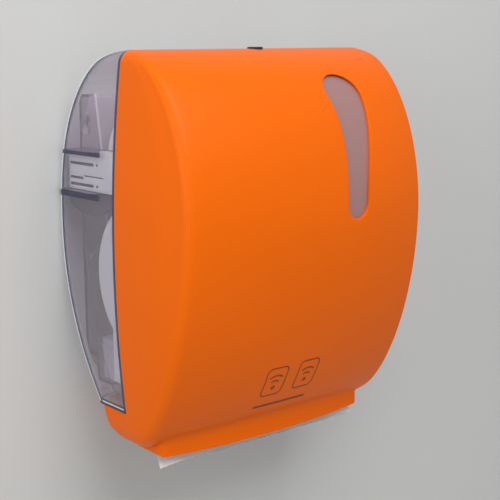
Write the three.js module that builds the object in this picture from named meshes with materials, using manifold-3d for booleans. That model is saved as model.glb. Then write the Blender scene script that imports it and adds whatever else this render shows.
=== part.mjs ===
// A wall-mounted sensor towel dispenser, in millimetres, +Z up.
// The wall is the plane y = 0 and the front faces -Y, so a depth d from the wall lies at y = -d.
// The origin is on the wall plate's back face, x = 0 is the middle of the housing.

import * as THREE from "three";
import { mergeVertices } from "three/addons/utils/BufferGeometryUtils.js";
import Module from "manifold-3d";

// Housing: one almond-shaped envelope that the back tray and the front cover share
const housingHalfWidth = 168;
const housingTop = 189;
const housingBottom = -203;
const sideBulge = 13.3;
const frontCrown = 15;
const frontTaper = 13;
const partingDepth = 107;
const frontReach = 99;
const sideDepth = partingDepth + frontReach;
const floorRise = 42;
const trayFloor = housingBottom + floorRise;
const cheekCentre = 45;
const frontCentre = 28.5;
const cheekFootReach = 55;
const cheekFootDepth = partingDepth - cheekFootReach;
const edgeRoundBack = 10;
const edgeRoundFront = 12;
const cornerRoundTop = 12;
const cornerRoundBottom = 22;
const footRound = 5;
const trayWall = 2.6;
const coverWall = 3;
const partingGap = 0.4;

// Exponents and shares that shape the envelope's curves
const roofCurveShare = 2.35;
const cheekCurveShare = 2.3;
const frontTopCurveShare = 2;
const frontBottomCurveShare = 1.7;
const chinCurveShare = 2.4;
const taperCurveShare = 1.8;
const crownFadeShare = 0.35;
const edgeFillShare = 0.8;
const sideStationShares = [0.4, 0.75];
const crownStationShares = [0.7, 0.35, 0];
const lowerLevelShares = [0.96, 0.9, 0.82, 0.72, 0.6, 0.47, 0.32, 0.16, 0];
const upperLevelShares = [0.18, 0.36, 0.52, 0.66, 0.77, 0.86, 0.93, 0.967];
const weldShare = 0.0001;

// Clearances used all over
const seatGap = 0.3;
const runGap = 0.35;
const cutOverrun = 6;

// Wall plate with its ribs and fixings
const plateInset = 31;
const plateHalfWidth = housingHalfWidth - plateInset;
const plateTop = 145;
const plateRise = 8;
const plateBottom = trayFloor + plateRise;
const plateThickness = 3;
const ribTopReach = 63;
const ribTopDepth = partingDepth - ribTopReach;
const ribLowReach = 27;
const ribLowDepth = partingDepth - ribLowReach;
const ribKneeHeight = 0;
const keyholeInset = 8;
const keyholeX = plateHalfWidth - keyholeInset;
const keyholeZ = 107;
const keyholeHeadRadius = 5;
const keyholeSlotRadius = 2.6;
const keyholeSlotRise = 12;
const slotInset = 13;
const slotX = plateHalfWidth - slotInset;
const slotZ = -25;
const slotLength = 12;
const slotHeight = 5;
const screwHeadRadius = 4.2;
const screwHeadHeight = 2.4;
const screwShankRadius = 2;

// Front cover's lip, outlet, window and hinge
const lipInset = 1.8;
const lipHalfWidth = plateHalfWidth - lipInset;
const lipDrop = 6;
const lipBottom = housingBottom - lipDrop;
const lipTop = -174;
const lipReach = 22;
const lipEndDepth = partingDepth + lipReach;
const lipBow = 10;
const lipReturnTop = -197.5;
const lipReturnRise = 7;
const lipReturnSlope = 16;
const outletInset = 2.5;
const outletHalfWidth = plateHalfWidth - outletInset;
const outletReach = 29;
const outletRear = partingDepth - outletReach;
const windowLeft = 33;
const windowBottom = 20.5;
const windowWidth = 50;
const windowHeight = 141.5;
const windowLap = 5;
const windowThickness = 2;
const hingeReach = 6;
const hingeDepth = cheekFootDepth + hingeReach;
const hingeDrop = 5.2;
const hingeHeight = trayFloor - hingeDrop;
const hingeBarrelRadius = 4.8;
const hingePinRadius = 2;
const hingeEarInset = 15;
const hingeEarX = plateHalfWidth - hingeEarInset;
const hingeEarWidth = 8;
const knuckleLength = 16;

// Lock and its catch
const lockReach = 10;
const lockDepth = partingDepth + lockReach;
const lockRadius = 8;
const lockProud = 1.4;
const lockDrop = 26;
const lockBottom = housingTop - lockDrop;
const hookReach = 22;
const hookWidth = 8;
const hookBarHeight = 3;
const hookTipHeight = 9;
const hookTipSize = 4;
const hookGap = 0.7;
const catchHalfWidth = 10;
const catchLipHalf = 4;
const catchThickness = 2;
const catchLipDrop = 21;
const catchLipBottom = housingTop - catchLipDrop;
const catchDrop = 4.8;
const catchTop = housingTop - catchDrop;
const catchReach = 30;
const catchRear = lockDepth - catchReach;

// Height of the towel roll's axis
const rollHeight = 70.5;

// Side frames and the gear train on the left one
const frameInnerX = plateHalfWidth + seatGap;
const frameThickness = 3;
const frameArcRadius = 76;
const frameArcReach = 23.5;
const frameArcDepth = partingDepth + frameArcReach;
const frameArcDrop = 100.3;
const frameArcHeight = rollHeight - frameArcDrop;
const frameFrontReach = 33;
const frameFront = partingDepth + frameFrontReach;
const frameRise = 3;
const frameBottom = trayFloor + frameRise;
const hubPassGap = 1;
const gearModule = 1.5;
const gearFace = 3.4;
const pinionTeeth = 10;
const wheelTeeth = 48;
const smallTeeth = 12;
const idlerTeeth = 42;
const rollerTeeth = 24;
const wheelReachForward = 4;
const wheelDepth = partingDepth + wheelReachForward;
const wheelHeight = -28;
const motorAngleDegrees = 245;
const gearAxleRadius = 2.5;
const gearPlayShare = 0.1;
const gearTipShare = 0.85;
const gearRootShare = 1.15;
const toothHalfShare = 0.25;
const toothTipShare = 0.55;
const toothRootShare = 1.45;
const driveCoverWall = 1.8;
const driveCoverRadius = 78;
const driveCoverProud = 11.7;
const driveCoverReach = frameInnerX + frameThickness + driveCoverProud;
const driveCoverBottom = -140;
const clipReach = 25;
const clipDepth = partingDepth - clipReach;
const clipHeight = 8;
const clipWidth = 7;
const clipLength = 18;

// Drive roller, pinch roller and their bearings
const driveReach = 9;
const driveDepth = partingDepth - driveReach;
const driveHeight = -116.5;
const driveRadius = 15;
const driveInset = 11;
const driveHalfLength = plateHalfWidth - driveInset;
const driveShaftRadius = 4;
const driveBushRadius = 6.5;
const pinchRadius = 8;
const pinchShaftRadius = 3;
const pinchBushHalf = 5;
const pinchTravel = 2.5;
const springThickness = 0.8;
const bushFlange = 1.5;

// Towel roll, its core and the hubs on the arms
const rollReach = 5;
const rollDepth = partingDepth + rollReach;
const rollRadius = 70;
const rollInset = 6;
const rollHalfWidth = plateHalfWidth - rollInset;
const coreRadius = 21;
const coreWall = 1.5;
const hubFlangeRadius = 32;
const hubFlangeThickness = 3;
const hubSpigotLength = 7;
const hubTipRadius = 12.5;
const hubPinRadius = 4;
const armHeight = 41;
const armThickness = 3.2;
const armInset = 12.4;
const armOuterX = housingHalfWidth - armInset;
const armRibDepth = 4;
const armClearance = 1.2;
const armInnerX = plateHalfWidth + armClearance;
const armBendReach = 27;
const armBend = rollDepth - armBendReach;
const armBendRun = 13;
const armNose = 15;
const armFront = rollDepth + armNose;
const armRoot = 9;
const pocketReach = 18;
const pocketFront = armBend - pocketReach;
const pocketWall = 2.4;
const webArcRadius = 72.5;
const webArcReach = 65;
const webArcDepth = partingDepth - webArcReach;
const webArcRise = 26.5;
const webArcHeight = rollHeight + webArcRise;
const webInset = 6;
const webX = armOuterX - webInset;

// Each groove on an arm's outer face: its foot, height and front end, as shares
const armGrooveShares = [[0.22, 0.06, 0.8], [0.42, 0.045, 0.47], [0.745, 0.055, 0.8]];
const grooveStartShare = 0.2;

// Towel web, chute, tear blade and sensor
const towelThickness = 0.5;
const towelHalfWidth = rollHalfWidth;
const towelEnd = -223;
const towelEndReach = 25;
const towelEndDepth = driveDepth + towelEndReach;
const towelBendHeight = -197;
const chuteInset = 3.5;
const chuteHalfWidth = plateHalfWidth - chuteInset;
const chuteWall = 2;
const chuteTop = -134;
const chuteBottom = -190;
const chuteSetForward = 6;
const chuteRear = outletRear + chuteSetForward;
const chuteStandoff = 4;
const carrierThickness = 3;
const carrierTop = -138;
const carrierBottom = -186;
const bladeThickness = 0.9;
const bladeStandoff = 2.9;
const bladeTop = -172;
const bladeBottom = -195.5;
const toothDepth = 3;
const toothCount = 44;
const earTop = -142;
const earBottom = -172;
const sensorSetForward = 12;
const sensorDepth = chuteRear + sensorSetForward;
const sensorRadius = 7;
const sensorThickness = 2.4;

// Battery box with four cells
const boxInset = 7;
const boxHalfWidth = plateHalfWidth - boxInset;
const boxReach = 81.4;
const boxRear = partingDepth - boxReach;
const boxRise = 11.4;
const boxBottom = trayFloor + boxRise;
const boxWall = 2;
const cellRadius = 17.1;
const cellTipRadius = 4.8;
const cellTipHeight = 1.5;
const cellCount = 4;
const doorThickness = 2.4;
const doorHingeRadius = 2.2;
const contactThickness = 0.8;
const contactShare = 0.6;
const cellPitch = (2 * (boxHalfWidth - boxWall - 2 * seatGap - contactThickness)) / cellCount;
const cellLength = cellPitch - cellTipHeight - seatGap;

// Bridge plate, motor, circuit board
const bridgeReach = 37;
const bridgeRear = partingDepth - bridgeReach;
const bridgeThickness = 3;
const bridgeTop = -50;
const bridgeBottom = -109;
const bridgeEarHeight = 4;
const bridgeEarReach = 29;
const bridgeEarFront = bridgeRear + bridgeEarReach;
const saddleShare = 0.8;
const motorRadius = 12.5;
const motorLength = 52;
const motorBossRadius = 5;
const motorBossLength = 3.5;
const motorShaftRadius = 1.6;
const boardLeft = 4;
const boardInset = 25;
const boardRight = plateHalfWidth - boardInset;
const boardBottom = -98;
const boardTop = -56;
const boardThickness = 1.6;
const boardStandoff = 3;

// Control box on the right frame
const controlWidth = 16;
const controlSetBack = 8;
const controlFront = frameFront - controlSetBack;
const controlLength = 28;
const controlRear = controlFront - controlLength;
const controlDrop = 44.5;
const controlTop = rollHeight - controlDrop;
const controlTall = 70;
const controlBottom = controlTop - controlTall;
const controlWall = 2;
const buttonRadius = 5;
const buttonTravel = 1.5;
const buttonProud = 2.5;
const buttonDrop = 14;
const buttonHeight = controlTop - buttonDrop;
const switchDrop = 48;
const switchHeight = controlTop - switchDrop;
const switchWidth = 8;
const switchLength = 14;
const rockerFootShare = 0.7;
const rockerEdgeShare = 0.97;
const rockerCrownShare = 0.9;

// Finishes: colour, roughness and metalness
const finishes = {
  orange: [0xf07a1e, 0.45, 0],
  smoke: [0x77757f, 0.15, 0],
  smokeWindow: [0xa08c8c, 0.25, 0],
  white: [0xc9cdcc, 0.4, 0],
  black: [0x1d1d1f, 0.35, 0],
  rubber: [0x2b2b2d, 0.9, 0],
  steel: [0xb4b7ba, 0.35, 1],
  paper: [0xf1eeea, 0.95, 0],
  card: [0xa88a62, 0.9, 0],
  nylon: [0xe6e2d6, 0.5, 0],
  board: [0x1f5a36, 0.5, 0],
  cell: [0x2f4a7a, 0.4, 0.2],
  grey: [0x8a8d90, 0.5, 0],
  lens: [0x1a1216, 0.1, 0],
};

const wasm = await Module();
wasm.setup();

// Turns a closed geometry into a solid, with its faces pointing out
function solid(geometry) {
  const bare = geometry.index ? geometry.clone() : geometry;
  bare.deleteAttribute("normal");
  bare.deleteAttribute("uv");
  const merged = mergeVertices(bare, weldShare);
  const triVerts = new Uint32Array(merged.index.array);
  if (signedVolume(merged.attributes.position.array, triVerts) < 0) {
    for (let i = 0; i < triVerts.length; i += 3) {
      [triVerts[i], triVerts[i + 1]] = [triVerts[i + 1], triVerts[i]];
    }
  }
  const vertProperties = new Float32Array(merged.attributes.position.array);
  return new wasm.Manifold(new wasm.Mesh({ numProp: 3, vertProperties, triVerts }));
}

function signedVolume(positions, triangles) {
  const corner = (k) => new THREE.Vector3().fromArray(positions, triangles[k] * 3);
  let volume = 0;
  for (let i = 0; i < triangles.length; i += 3) {
    volume += corner(i).dot(corner(i + 1).cross(corner(i + 2))) / 6;
  }
  return volume;
}

function joined(solids) {
  return solids.reduce((whole, next) => whole.add(next));
}

function without(whole, cuts) {
  return cuts.reduce((rest, cut) => rest.subtract(cut), whole);
}

// A rounded or plain outline of [a, b] points as a shape
function outline(points) {
  return new THREE.Shape(points.map(([a, b]) => new THREE.Vector2(a, b)));
}

function extruded(shape, length) {
  return new THREE.ExtrudeGeometry(shape, { depth: length, bevelEnabled: false, curveSegments: 8 });
}

// A plate whose outline is drawn in depth and height, from x0 to x1
function sidePlate(points, x0, x1) {
  const geometry = extruded(outline(points.map(([d, z]) => [-d, z])), x1 - x0);
  geometry.applyMatrix4(new THREE.Matrix4().set(0, 0, 1, x0, 1, 0, 0, 0, 0, 1, 0, 0, 0, 0, 0, 1));
  return solid(geometry);
}

// A plate whose shape is drawn in x and height, from depth d0 to d1
function frontPlate(shape, d0, d1) {
  const geometry = extruded(shape, d1 - d0);
  geometry.applyMatrix4(new THREE.Matrix4().set(1, 0, 0, 0, 0, 0, -1, -d0, 0, 1, 0, 0, 0, 0, 0, 1));
  return solid(geometry);
}

// A plate whose outline is drawn in x and depth, from height z0 to z1
function topPlate(points, z0, z1) {
  const geometry = extruded(outline(points.map(([x, d]) => [x, -d])), z1 - z0);
  return solid(geometry.translate(0, 0, z0));
}

function block(x0, x1, d0, d1, z0, z1) {
  const geometry = new THREE.BoxGeometry(x1 - x0, d1 - d0, z1 - z0);
  return solid(geometry.translate((x0 + x1) / 2, -(d0 + d1) / 2, (z0 + z1) / 2));
}

// A turned piece on a line along X: its profile is a list of [x, radius] points
function turned(profile, depth, height, sides) {
  const closed = profile[0][1] > 0 ? [...profile, profile[0]] : profile;
  const points = closed.map(([x, radius]) => new THREE.Vector2(radius, x));
  const geometry = new THREE.LatheGeometry(points, sides);
  return solid(geometry.rotateZ(-Math.PI / 2).translate(0, -depth, height));
}

function rod(x0, x1, radius, depth, height, sides) {
  return turned([[x0, 0], [x0, radius], [x1, radius], [x1, 0]], depth, height, sides);
}

function ring(x0, x1, inner, outer, depth, height, sides) {
  return turned([[x0, inner], [x0, outer], [x1, outer], [x1, inner]], depth, height, sides);
}

// A round pin along the depth axis
function depthPin(x, height, radius, d0, d1, sides) {
  const geometry = new THREE.CylinderGeometry(radius, radius, d1 - d0, sides);
  return solid(geometry.translate(x, -(d0 + d1) / 2, height));
}

// A round pin standing on end
function uprightPin(x, depth, radius, z0, z1, sides) {
  const geometry = new THREE.CylinderGeometry(radius, radius, z1 - z0, sides).rotateX(Math.PI / 2);
  return solid(geometry.translate(x, -depth, (z0 + z1) / 2));
}

function arcPoints(depth, height, radius, fromDegrees, toDegrees, steps) {
  return Array.from({ length: steps + 1 }, (_, i) => {
    const angle = THREE.MathUtils.degToRad(fromDegrees + ((toDegrees - fromDegrees) * i) / steps);
    return [depth + radius * Math.cos(angle), height + radius * Math.sin(angle)];
  });
}

const mirrored = (whole) => whole.mirror([1, 0, 0]);

const widestLevel = (housingTop + housingBottom) / 2;

// Half width of the housing at a height, without its corner rounding
function sideReach(z) {
  const half = (housingTop - housingBottom) / 2;
  return housingHalfWidth - sideBulge * ((z - widestLevel) / half) ** 2;
}

// What a rounded corner takes off the half width near the top and bottom edges
function cornerLoss(z, inset) {
  const loss = (round, above) => {
    const into = Math.max(0, round - Math.max(above, 0));
    return round - Math.sqrt(Math.max(0, round ** 2 - into ** 2));
  };
  const top = loss(cornerRoundTop - inset, housingTop - inset - z);
  const bottom = loss(cornerRoundBottom - inset, z - housingBottom - inset);
  return Math.max(top, bottom);
}

function curved(share, first, second) {
  return Math.max(0, 1 - Math.max(0, share) ** first) ** (1 / second);
}

// Depth of the housing's back surface at a height
function backDepth(z, inset) {
  if (z >= cheekCentre) {
    const share = (z - cheekCentre) / (housingTop - inset - cheekCentre);
    const reach = partingDepth - inset;
    return partingDepth - reach * curved(share, roofCurveShare, roofCurveShare);
  }
  if (z >= trayFloor) {
    const share = (cheekCentre - z) / (cheekCentre - trayFloor);
    return inset + cheekFootDepth * share ** cheekCurveShare;
  }
  const share = (trayFloor - z) / (trayFloor - housingBottom - inset);
  return partingDepth - (partingDepth - cheekFootDepth - inset) * curved(share, chinCurveShare, chinCurveShare);
}

// Depth of the housing's front surface at its sides
function frontDepth(z, inset) {
  const reach = sideDepth - partingDepth - inset;
  if (z >= frontCentre) {
    const share = (z - frontCentre) / (housingTop - inset - frontCentre);
    return partingDepth + reach * curved(share, frontTopCurveShare, frontTopCurveShare);
  }
  const share = (frontCentre - z) / (frontCentre - housingBottom - inset);
  return partingDepth + reach * curved(share, frontBottomCurveShare, frontBottomCurveShare);
}

// One level section of the envelope: [x, d] points of its right half, from the back to the front
function levelSection(z, inset) {
  const back = backDepth(z, inset);
  const front = frontDepth(z, inset);
  const reach = sideReach(z) - cornerLoss(z, inset) - inset;
  const fullReach = sideDepth - partingDepth;
  const backRound = Math.min(edgeRoundBack, (partingDepth - back) * edgeFillShare);
  const frontRound = Math.min(edgeRoundFront, (front - partingDepth) * edgeFillShare);
  const narrowed = (d) => {
    const share = Math.max(0, d - partingDepth) / fullReach;
    return reach - frontTaper * share ** taperCurveShare;
  };
  const points = [[0, back]];
  for (const [x, y] of arcPoints(0, 0, backRound, -90, 0, 3)) {
    points.push([reach - backRound + x, back + backRound + y]);
  }
  const sideEnd = front - frontRound;
  points.push([reach, (back + backRound + partingDepth) / 2], [reach, partingDepth]);
  for (const share of sideStationShares) {
    const d = partingDepth + (sideEnd - partingDepth) * share;
    points.push([narrowed(d), d]);
  }
  const edge = narrowed(front);
  const crown = frontCrown * ((front - partingDepth) / fullReach) ** crownFadeShare;
  const lean = Math.atan((2 * crown * (edge - frontRound)) / edge ** 2);
  const crownAt = (x) => front + crown * (1 - (x / edge) ** 2);
  const tangentX = edge - frontRound + frontRound * Math.sin(lean);
  const centre = crownAt(tangentX) - frontRound * Math.cos(lean);
  const endDegrees = 90 - THREE.MathUtils.radToDeg(lean);
  for (const [x, y] of arcPoints(0, 0, frontRound, 0, endDegrees, 3)) {
    points.push([edge - frontRound + x, centre + y]);
  }
  for (const share of crownStationShares) {
    points.push([tangentX * share, crownAt(tangentX * share)]);
  }
  return points;
}

// The whole envelope, drawn in by an inset, as a loft of level sections
function envelope(inset) {
  const upper = housingTop - inset - frontCentre;
  const lower = frontCentre - housingBottom - inset;
  const height = (reach, share) => reach * Math.sin((share * Math.PI) / 2);
  const levels = [
    ...lowerLevelShares.map((share) => frontCentre - height(lower, share)),
    ...upperLevelShares.map((share) => frontCentre + height(upper, share)),
  ];
  const rings = levels.map((z) => {
    const half = levelSection(z, inset);
    const left = half.slice(1, -1).reverse().map(([x, d]) => [-x, d]);
    return [...half, ...left].map(([x, d]) => new THREE.Vector3(x, -d, z));
  });
  return loft(rings);
}

// Joins rings of equally many points into one closed body with flat ends
function loft(rings) {
  const count = rings[0].length;
  const positions = rings.flat().flatMap((p) => [p.x, p.y, p.z]);
  const index = [];
  for (let level = 0; level + 1 < rings.length; level++) {
    for (let i = 0; i < count; i++) {
      const next = (i + 1) % count;
      const [a, b] = [level * count + i, level * count + next];
      index.push(a, b, b + count, a, b + count, a + count);
    }
  }
  const cap = (ring, offset, flip) => {
    const flat = ring.map((p) => new THREE.Vector2(p.x, p.y));
    for (const [a, b, c] of THREE.ShapeUtils.triangulateShape(flat, [])) {
      index.push(offset + a, offset + (flip ? c : b), offset + (flip ? b : c));
    }
  };
  const top = rings.length - 1;
  const clockwise = THREE.ShapeUtils.area(rings[0].map((p) => new THREE.Vector2(p.x, p.y))) < 0;
  cap(rings[0], 0, !clockwise);
  cap(rings[top], top * count, clockwise);
  const geometry = new THREE.BufferGeometry();
  geometry.setAttribute("position", new THREE.Float32BufferAttribute(positions, 3));
  geometry.setIndex(index);
  return solid(geometry);
}

const outerForm = envelope(0);
const far = housingHalfWidth + cutOverrun;
const high = housingTop + cutOverrun;
const low = lipBottom - cutOverrun;
const deep = sideDepth + frontCrown + cutOverrun;

// Wall tray: cheeks, roof, wall plate, ribs, arm pockets and hinge ears in one smoke moulding
function wallTray() {
  const trayRegion = block(-far, far, -cutOverrun, partingDepth, trayFloor, high);
  const inner = envelope(trayWall);
  const well = block(
    -plateHalfWidth + trayWall, plateHalfWidth - trayWall,
    plateThickness, partingDepth + cutOverrun, plateBottom + trayWall, plateTop - trayWall);
  const whole = outerForm.intersect(trayRegion).add(wallPad());
  const floorSlab = block(-far, far, 0, partingDepth - trayWall, trayFloor, trayFloor + trayWall);
  const middle = envelope(trayWall / 2);
  const within = middle.intersect(trayRegion).add(wallPad());
  const right = joined([trayRib(), ...armPocket(), pocketWeb()]).intersect(within);
  const tray = joined([
    without(whole, [inner, well]), middle.intersect(floorSlab), right, mirrored(right),
    ...[-1, 1].map(hingeEar), ...boxBosses(), catchBoss(),
  ]);
  return without(tray, [footCorner(), ...fixingHoles(), ...earBores(), ...knuckleRelief()]);
}

// Raised pad that brings the tray's middle back to the wall
function wallPad() {
  const points = [[0, plateTop]];
  for (let i = 0; i <= 16; i++) {
    const z = plateTop + ((plateBottom - plateTop) * i) / 16;
    points.push([backDepth(z, 0) + trayWall / 2, z]);
  }
  points.push([0, plateBottom]);
  return sidePlate(points, -plateHalfWidth, plateHalfWidth);
}

// The rounded corner at the foot of each cheek, as the piece that is cut away
function footCorner() {
  const curve = new THREE.QuadraticBezierCurve(
    new THREE.Vector2(cheekFootDepth + footRound, trayFloor),
    new THREE.Vector2(cheekFootDepth, trayFloor),
    new THREE.Vector2(cheekFootDepth - footRound / 2, trayFloor + footRound));
  const points = curve.getPoints(5).map((p) => [p.x, p.y]);
  const under = trayFloor - cutOverrun;
  return sidePlate(
    [[cheekFootDepth + footRound, under], ...points, [0, trayFloor + footRound], [0, under]], -far, far);
}

// Upright rib that carries a side frame: shallow at the top, deeper below
function trayRib() {
  const points = [
    [plateThickness / 2, plateTop], [ribTopDepth, plateTop],
    [ribLowDepth, ribKneeHeight], [ribLowDepth, trayFloor + trayWall / 2],
    [plateThickness / 2, trayFloor + trayWall / 2],
  ];
  return sidePlate(points, plateHalfWidth - trayWall, plateHalfWidth);
}

// Shelves above and below a roll arm
function armPocket() {
  const half = armHeight / 2 + runGap;
  const shelf = (z0) => block(plateHalfWidth - trayWall / 2, far, 0, pocketFront, z0, z0 + pocketWall);
  return [shelf(rollHeight + half), shelf(rollHeight - half - pocketWall)];
}

// Round-bottomed web that stiffens the lower shelf
function pocketWeb() {
  const top = rollHeight - armHeight / 2 - runGap - pocketWall / 2;
  const swing = THREE.MathUtils.radToDeg(Math.acos((webArcHeight - top) / webArcRadius));
  const arc = arcPoints(webArcDepth, webArcHeight, webArcRadius, -90 - swing, -90 + swing, 14);
  return sidePlate(arc, webX, webX + pocketWall);
}

function hingeEar(side) {
  const x0 = side * hingeEarX - hingeEarWidth / 2;
  const radius = hingeBarrelRadius - runGap;
  const tab = arcPoints(hingeDepth, hingeHeight, radius, 180, 360, 10);
  const rise = trayFloor + trayWall / 2;
  return sidePlate([...tab, [hingeDepth + radius, rise], [hingeDepth - radius, rise]], x0, x0 + hingeEarWidth);
}

function earBores() {
  return [-1, 1].map((side) => {
    const x0 = side * hingeEarX - hingeEarWidth / 2 - cutOverrun;
    const x1 = x0 + hingeEarWidth + 2 * cutOverrun;
    return rod(x0, x1, hingePinRadius + runGap, hingeDepth, hingeHeight, 12);
  });
}

// Hollows in the floor's underside that clear the cover's knuckles
function knuckleRelief() {
  const reach = knuckleLength + runGap;
  return [-1, 1].flatMap((side) => [-1, 1].map((end) => {
    const near = side * hingeEarX + end * (hingeEarWidth / 2);
    const span = [near, near + end * reach].sort((a, b) => a - b);
    return rod(span[0], span[1], hingeBarrelRadius + runGap, hingeDepth, hingeHeight, 16);
  }));
}

function fixingHoles() {
  const through = (shape) => frontPlate(shape, -cutOverrun, plateThickness + cutOverrun);
  return [-1, 1].flatMap((side) => {
    const head = new THREE.Shape();
    head.absarc(side * keyholeX, keyholeZ, keyholeHeadRadius, 0, Math.PI * 2);
    const neck = new THREE.Shape();
    neck.absarc(side * keyholeX, keyholeZ + keyholeSlotRise, keyholeSlotRadius, 0, Math.PI);
    neck.lineTo(side * keyholeX - keyholeSlotRadius, keyholeZ);
    neck.lineTo(side * keyholeX + keyholeSlotRadius, keyholeZ);
    const slot = new THREE.Shape();
    const half = (slotLength - slotHeight) / 2;
    slot.absarc(side * slotX + half, slotZ, slotHeight / 2, -Math.PI / 2, Math.PI / 2);
    slot.absarc(side * slotX - half, slotZ, slotHeight / 2, Math.PI / 2, Math.PI * 1.5);
    return [through(head), through(neck), through(slot)];
  });
}

// Bosses that the battery box stands against
function boxBosses() {
  const z = boxBottom + cellRadius;
  return [-1, 1].map((side) => depthPin(
    side * (boxHalfWidth - cellRadius), z, screwHeadRadius + trayWall, plateThickness / 2, boxRear - seatGap, 16));
}

// Depth of the catch lip's front face, just clear of the hook's tip behind it
const catchLipDepth = lockDepth - hookReach + hookTipSize + hookGap + catchThickness;

function catchBoss() {
  return block(
    -catchHalfWidth + catchThickness, catchHalfWidth - catchThickness,
    catchRear, catchLipDepth - 2 * catchThickness, catchTop + seatGap, catchTop + trayWall);
}

// Front cover: shell, lip and hinge knuckles in one orange moulding
function coverShell() {
  const gap = partingGap;
  const trayRegion = block(-far, far, -cutOverrun, partingDepth + gap, trayFloor - gap, high);
  const shell = without(outerForm, [envelope(coverWall), trayRegion]);
  const lip = coverLip();
  const behindHinge = block(-far, far, -cutOverrun, hingeDepth, low, trayFloor);
  const knuckles = hingeKnuckles();
  const above = topPlate(lipPlan(coverWall, outletHalfWidth, outletRear), lipReturnTop, trayFloor - gap);
  const between = topPlate(lipPlan(coverWall, lipHalfWidth - coverWall, outletRear), low, trayFloor - gap);
  const cover = joined([without(shell, [behindHinge, above, between]), lip, ...knuckles]);
  return without(cover, [windowCut(0), lockBore(), ...knuckleBores(), ...earNotches()]);
}

// Plan of the lip's curved face, set back by an inset and closed towards the wall
function lipPlan(inset, halfWidth, rear) {
  const points = [];
  for (let i = -8; i <= 8; i++) {
    const x = (halfWidth * i) / 8;
    const bow = lipBow * (1 - Math.min(1, Math.abs(x) / lipHalfWidth) ** 2);
    points.push([x, lipEndDepth - inset + bow]);
  }
  return [...points, [halfWidth, rear], [-halfWidth, rear]];
}

// Curved lip with a low return at each end that hides the outlet from the side
function coverLip() {
  const face = topPlate(lipPlan(0, lipHalfWidth, outletRear), lipBottom, lipTop);
  const behind = topPlate(lipPlan(coverWall, lipHalfWidth - coverWall, 0), low, lipTop + cutOverrun);
  const aboveReturns = topPlate(lipPlan(coverWall, lipHalfWidth + cutOverrun, 0), lipReturnTop, lipTop + cutOverrun);
  const foot = sidePlate([
    [0, low], [outletRear + lipReturnSlope, low], [outletRear + lipReturnSlope, lipBottom],
    [outletRear, lipBottom + lipReturnRise], [0, lipBottom + lipReturnRise],
  ], -far, far);
  const corner = (side) => {
    const round = cornerRoundTop / 2;
    const x = side * lipHalfWidth;
    const shape = new THREE.Shape();
    shape.moveTo(x + side * cutOverrun, lipBottom - cutOverrun);
    shape.lineTo(x + side * cutOverrun, lipBottom + round);
    shape.lineTo(x, lipBottom + round);
    shape.quadraticCurveTo(x, lipBottom, x - side * round, lipBottom);
    shape.lineTo(x - side * round, lipBottom - cutOverrun);
    return frontPlate(shape, 0, deep);
  };
  return without(face, [behind, aboveReturns, foot, corner(-1), corner(1)]);
}

function knuckleSpans() {
  return [-1, 1].flatMap((side) => [-1, 1].map((end) => {
    const near = side * hingeEarX + end * (hingeEarWidth / 2 + runGap);
    return [near, near + end * (knuckleLength - runGap)].sort((a, b) => a - b);
  }));
}

// Round knuckles either side of each ear, with a foot that runs down into the shell's underside
function hingeKnuckles() {
  const radius = hingeBarrelRadius;
  return knuckleSpans().map(([x0, x1]) => {
    const barrel = rod(x0, x1, radius, hingeDepth, hingeHeight, 16);
    const foot = block(x0, x1, hingeDepth, hingeDepth + 2 * radius, housingBottom, hingeHeight);
    return barrel.add(outerForm.intersect(foot));
  });
}

function knuckleBores() {
  return knuckleSpans().map(([x0, x1]) =>
    rod(x0 - cutOverrun, x1 + cutOverrun, hingePinRadius + runGap, hingeDepth, hingeHeight, 12));
}

// Notches that let each tray ear stand in the cover's rear edge
function earNotches() {
  const half = hingeEarWidth / 2 + runGap;
  return [-1, 1].map((side) => block(
    side * hingeEarX - half, side * hingeEarX + half,
    0, hingeDepth + hingeBarrelRadius + 2 * runGap, housingBottom, trayFloor));
}

// Teardrop window outline, as shares of its width and height from its lower left corner
const windowStartShares = [0.014, 0.125];
const windowCurveShares = [
  [[0.03, 0.39], [0.17, 0.67], [-0.01, 0.866]],
  [[-0.04, 0.95], [0.18, 1], [0.43, 1]],
  [[0.76, 1], [1.02, 0.93], [0.99, 0.83]],
  [[0.98, 0.65], [0.66, 0.39], [0.61, 0.116]],
  [[0.59, 0.04], [0.45, 0], [0.28, 0]],
  [[0.12, 0], [0, 0.05], [0.014, 0.125]],
];

function windowShape(lap) {
  const centre = [windowWidth / 2, windowHeight / 2];
  const grow = [1 + (2 * lap) / windowWidth, 1 + (2 * lap) / windowHeight];
  const place = ([a, b]) => [
    windowLeft + centre[0] + (a * windowWidth - centre[0]) * grow[0],
    windowBottom + centre[1] + (b * windowHeight - centre[1]) * grow[1],
  ];
  const shape = new THREE.Shape();
  shape.moveTo(...place(windowStartShares));
  for (const [first, second, end] of windowCurveShares) {
    shape.bezierCurveTo(...place(first), ...place(second), ...place(end));
  }
  return shape;
}

function windowCut(lap) {
  return frontPlate(windowShape(lap), partingDepth + cutOverrun, deep);
}

function lockBore() {
  return uprightPin(0, lockDepth, lockRadius + runGap, lockBottom, high, 22);
}

function windowPanel() {
  const outside = coverWall + seatGap;
  return without(envelope(outside), [envelope(outside + windowThickness)]).intersect(windowCut(windowLap));
}

function hingePin(side) {
  const reach = hingeEarWidth / 2 + knuckleLength - runGap;
  return rod(side * hingeEarX - reach, side * hingeEarX + reach, hingePinRadius, hingeDepth, hingeHeight, 12);
}

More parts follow.
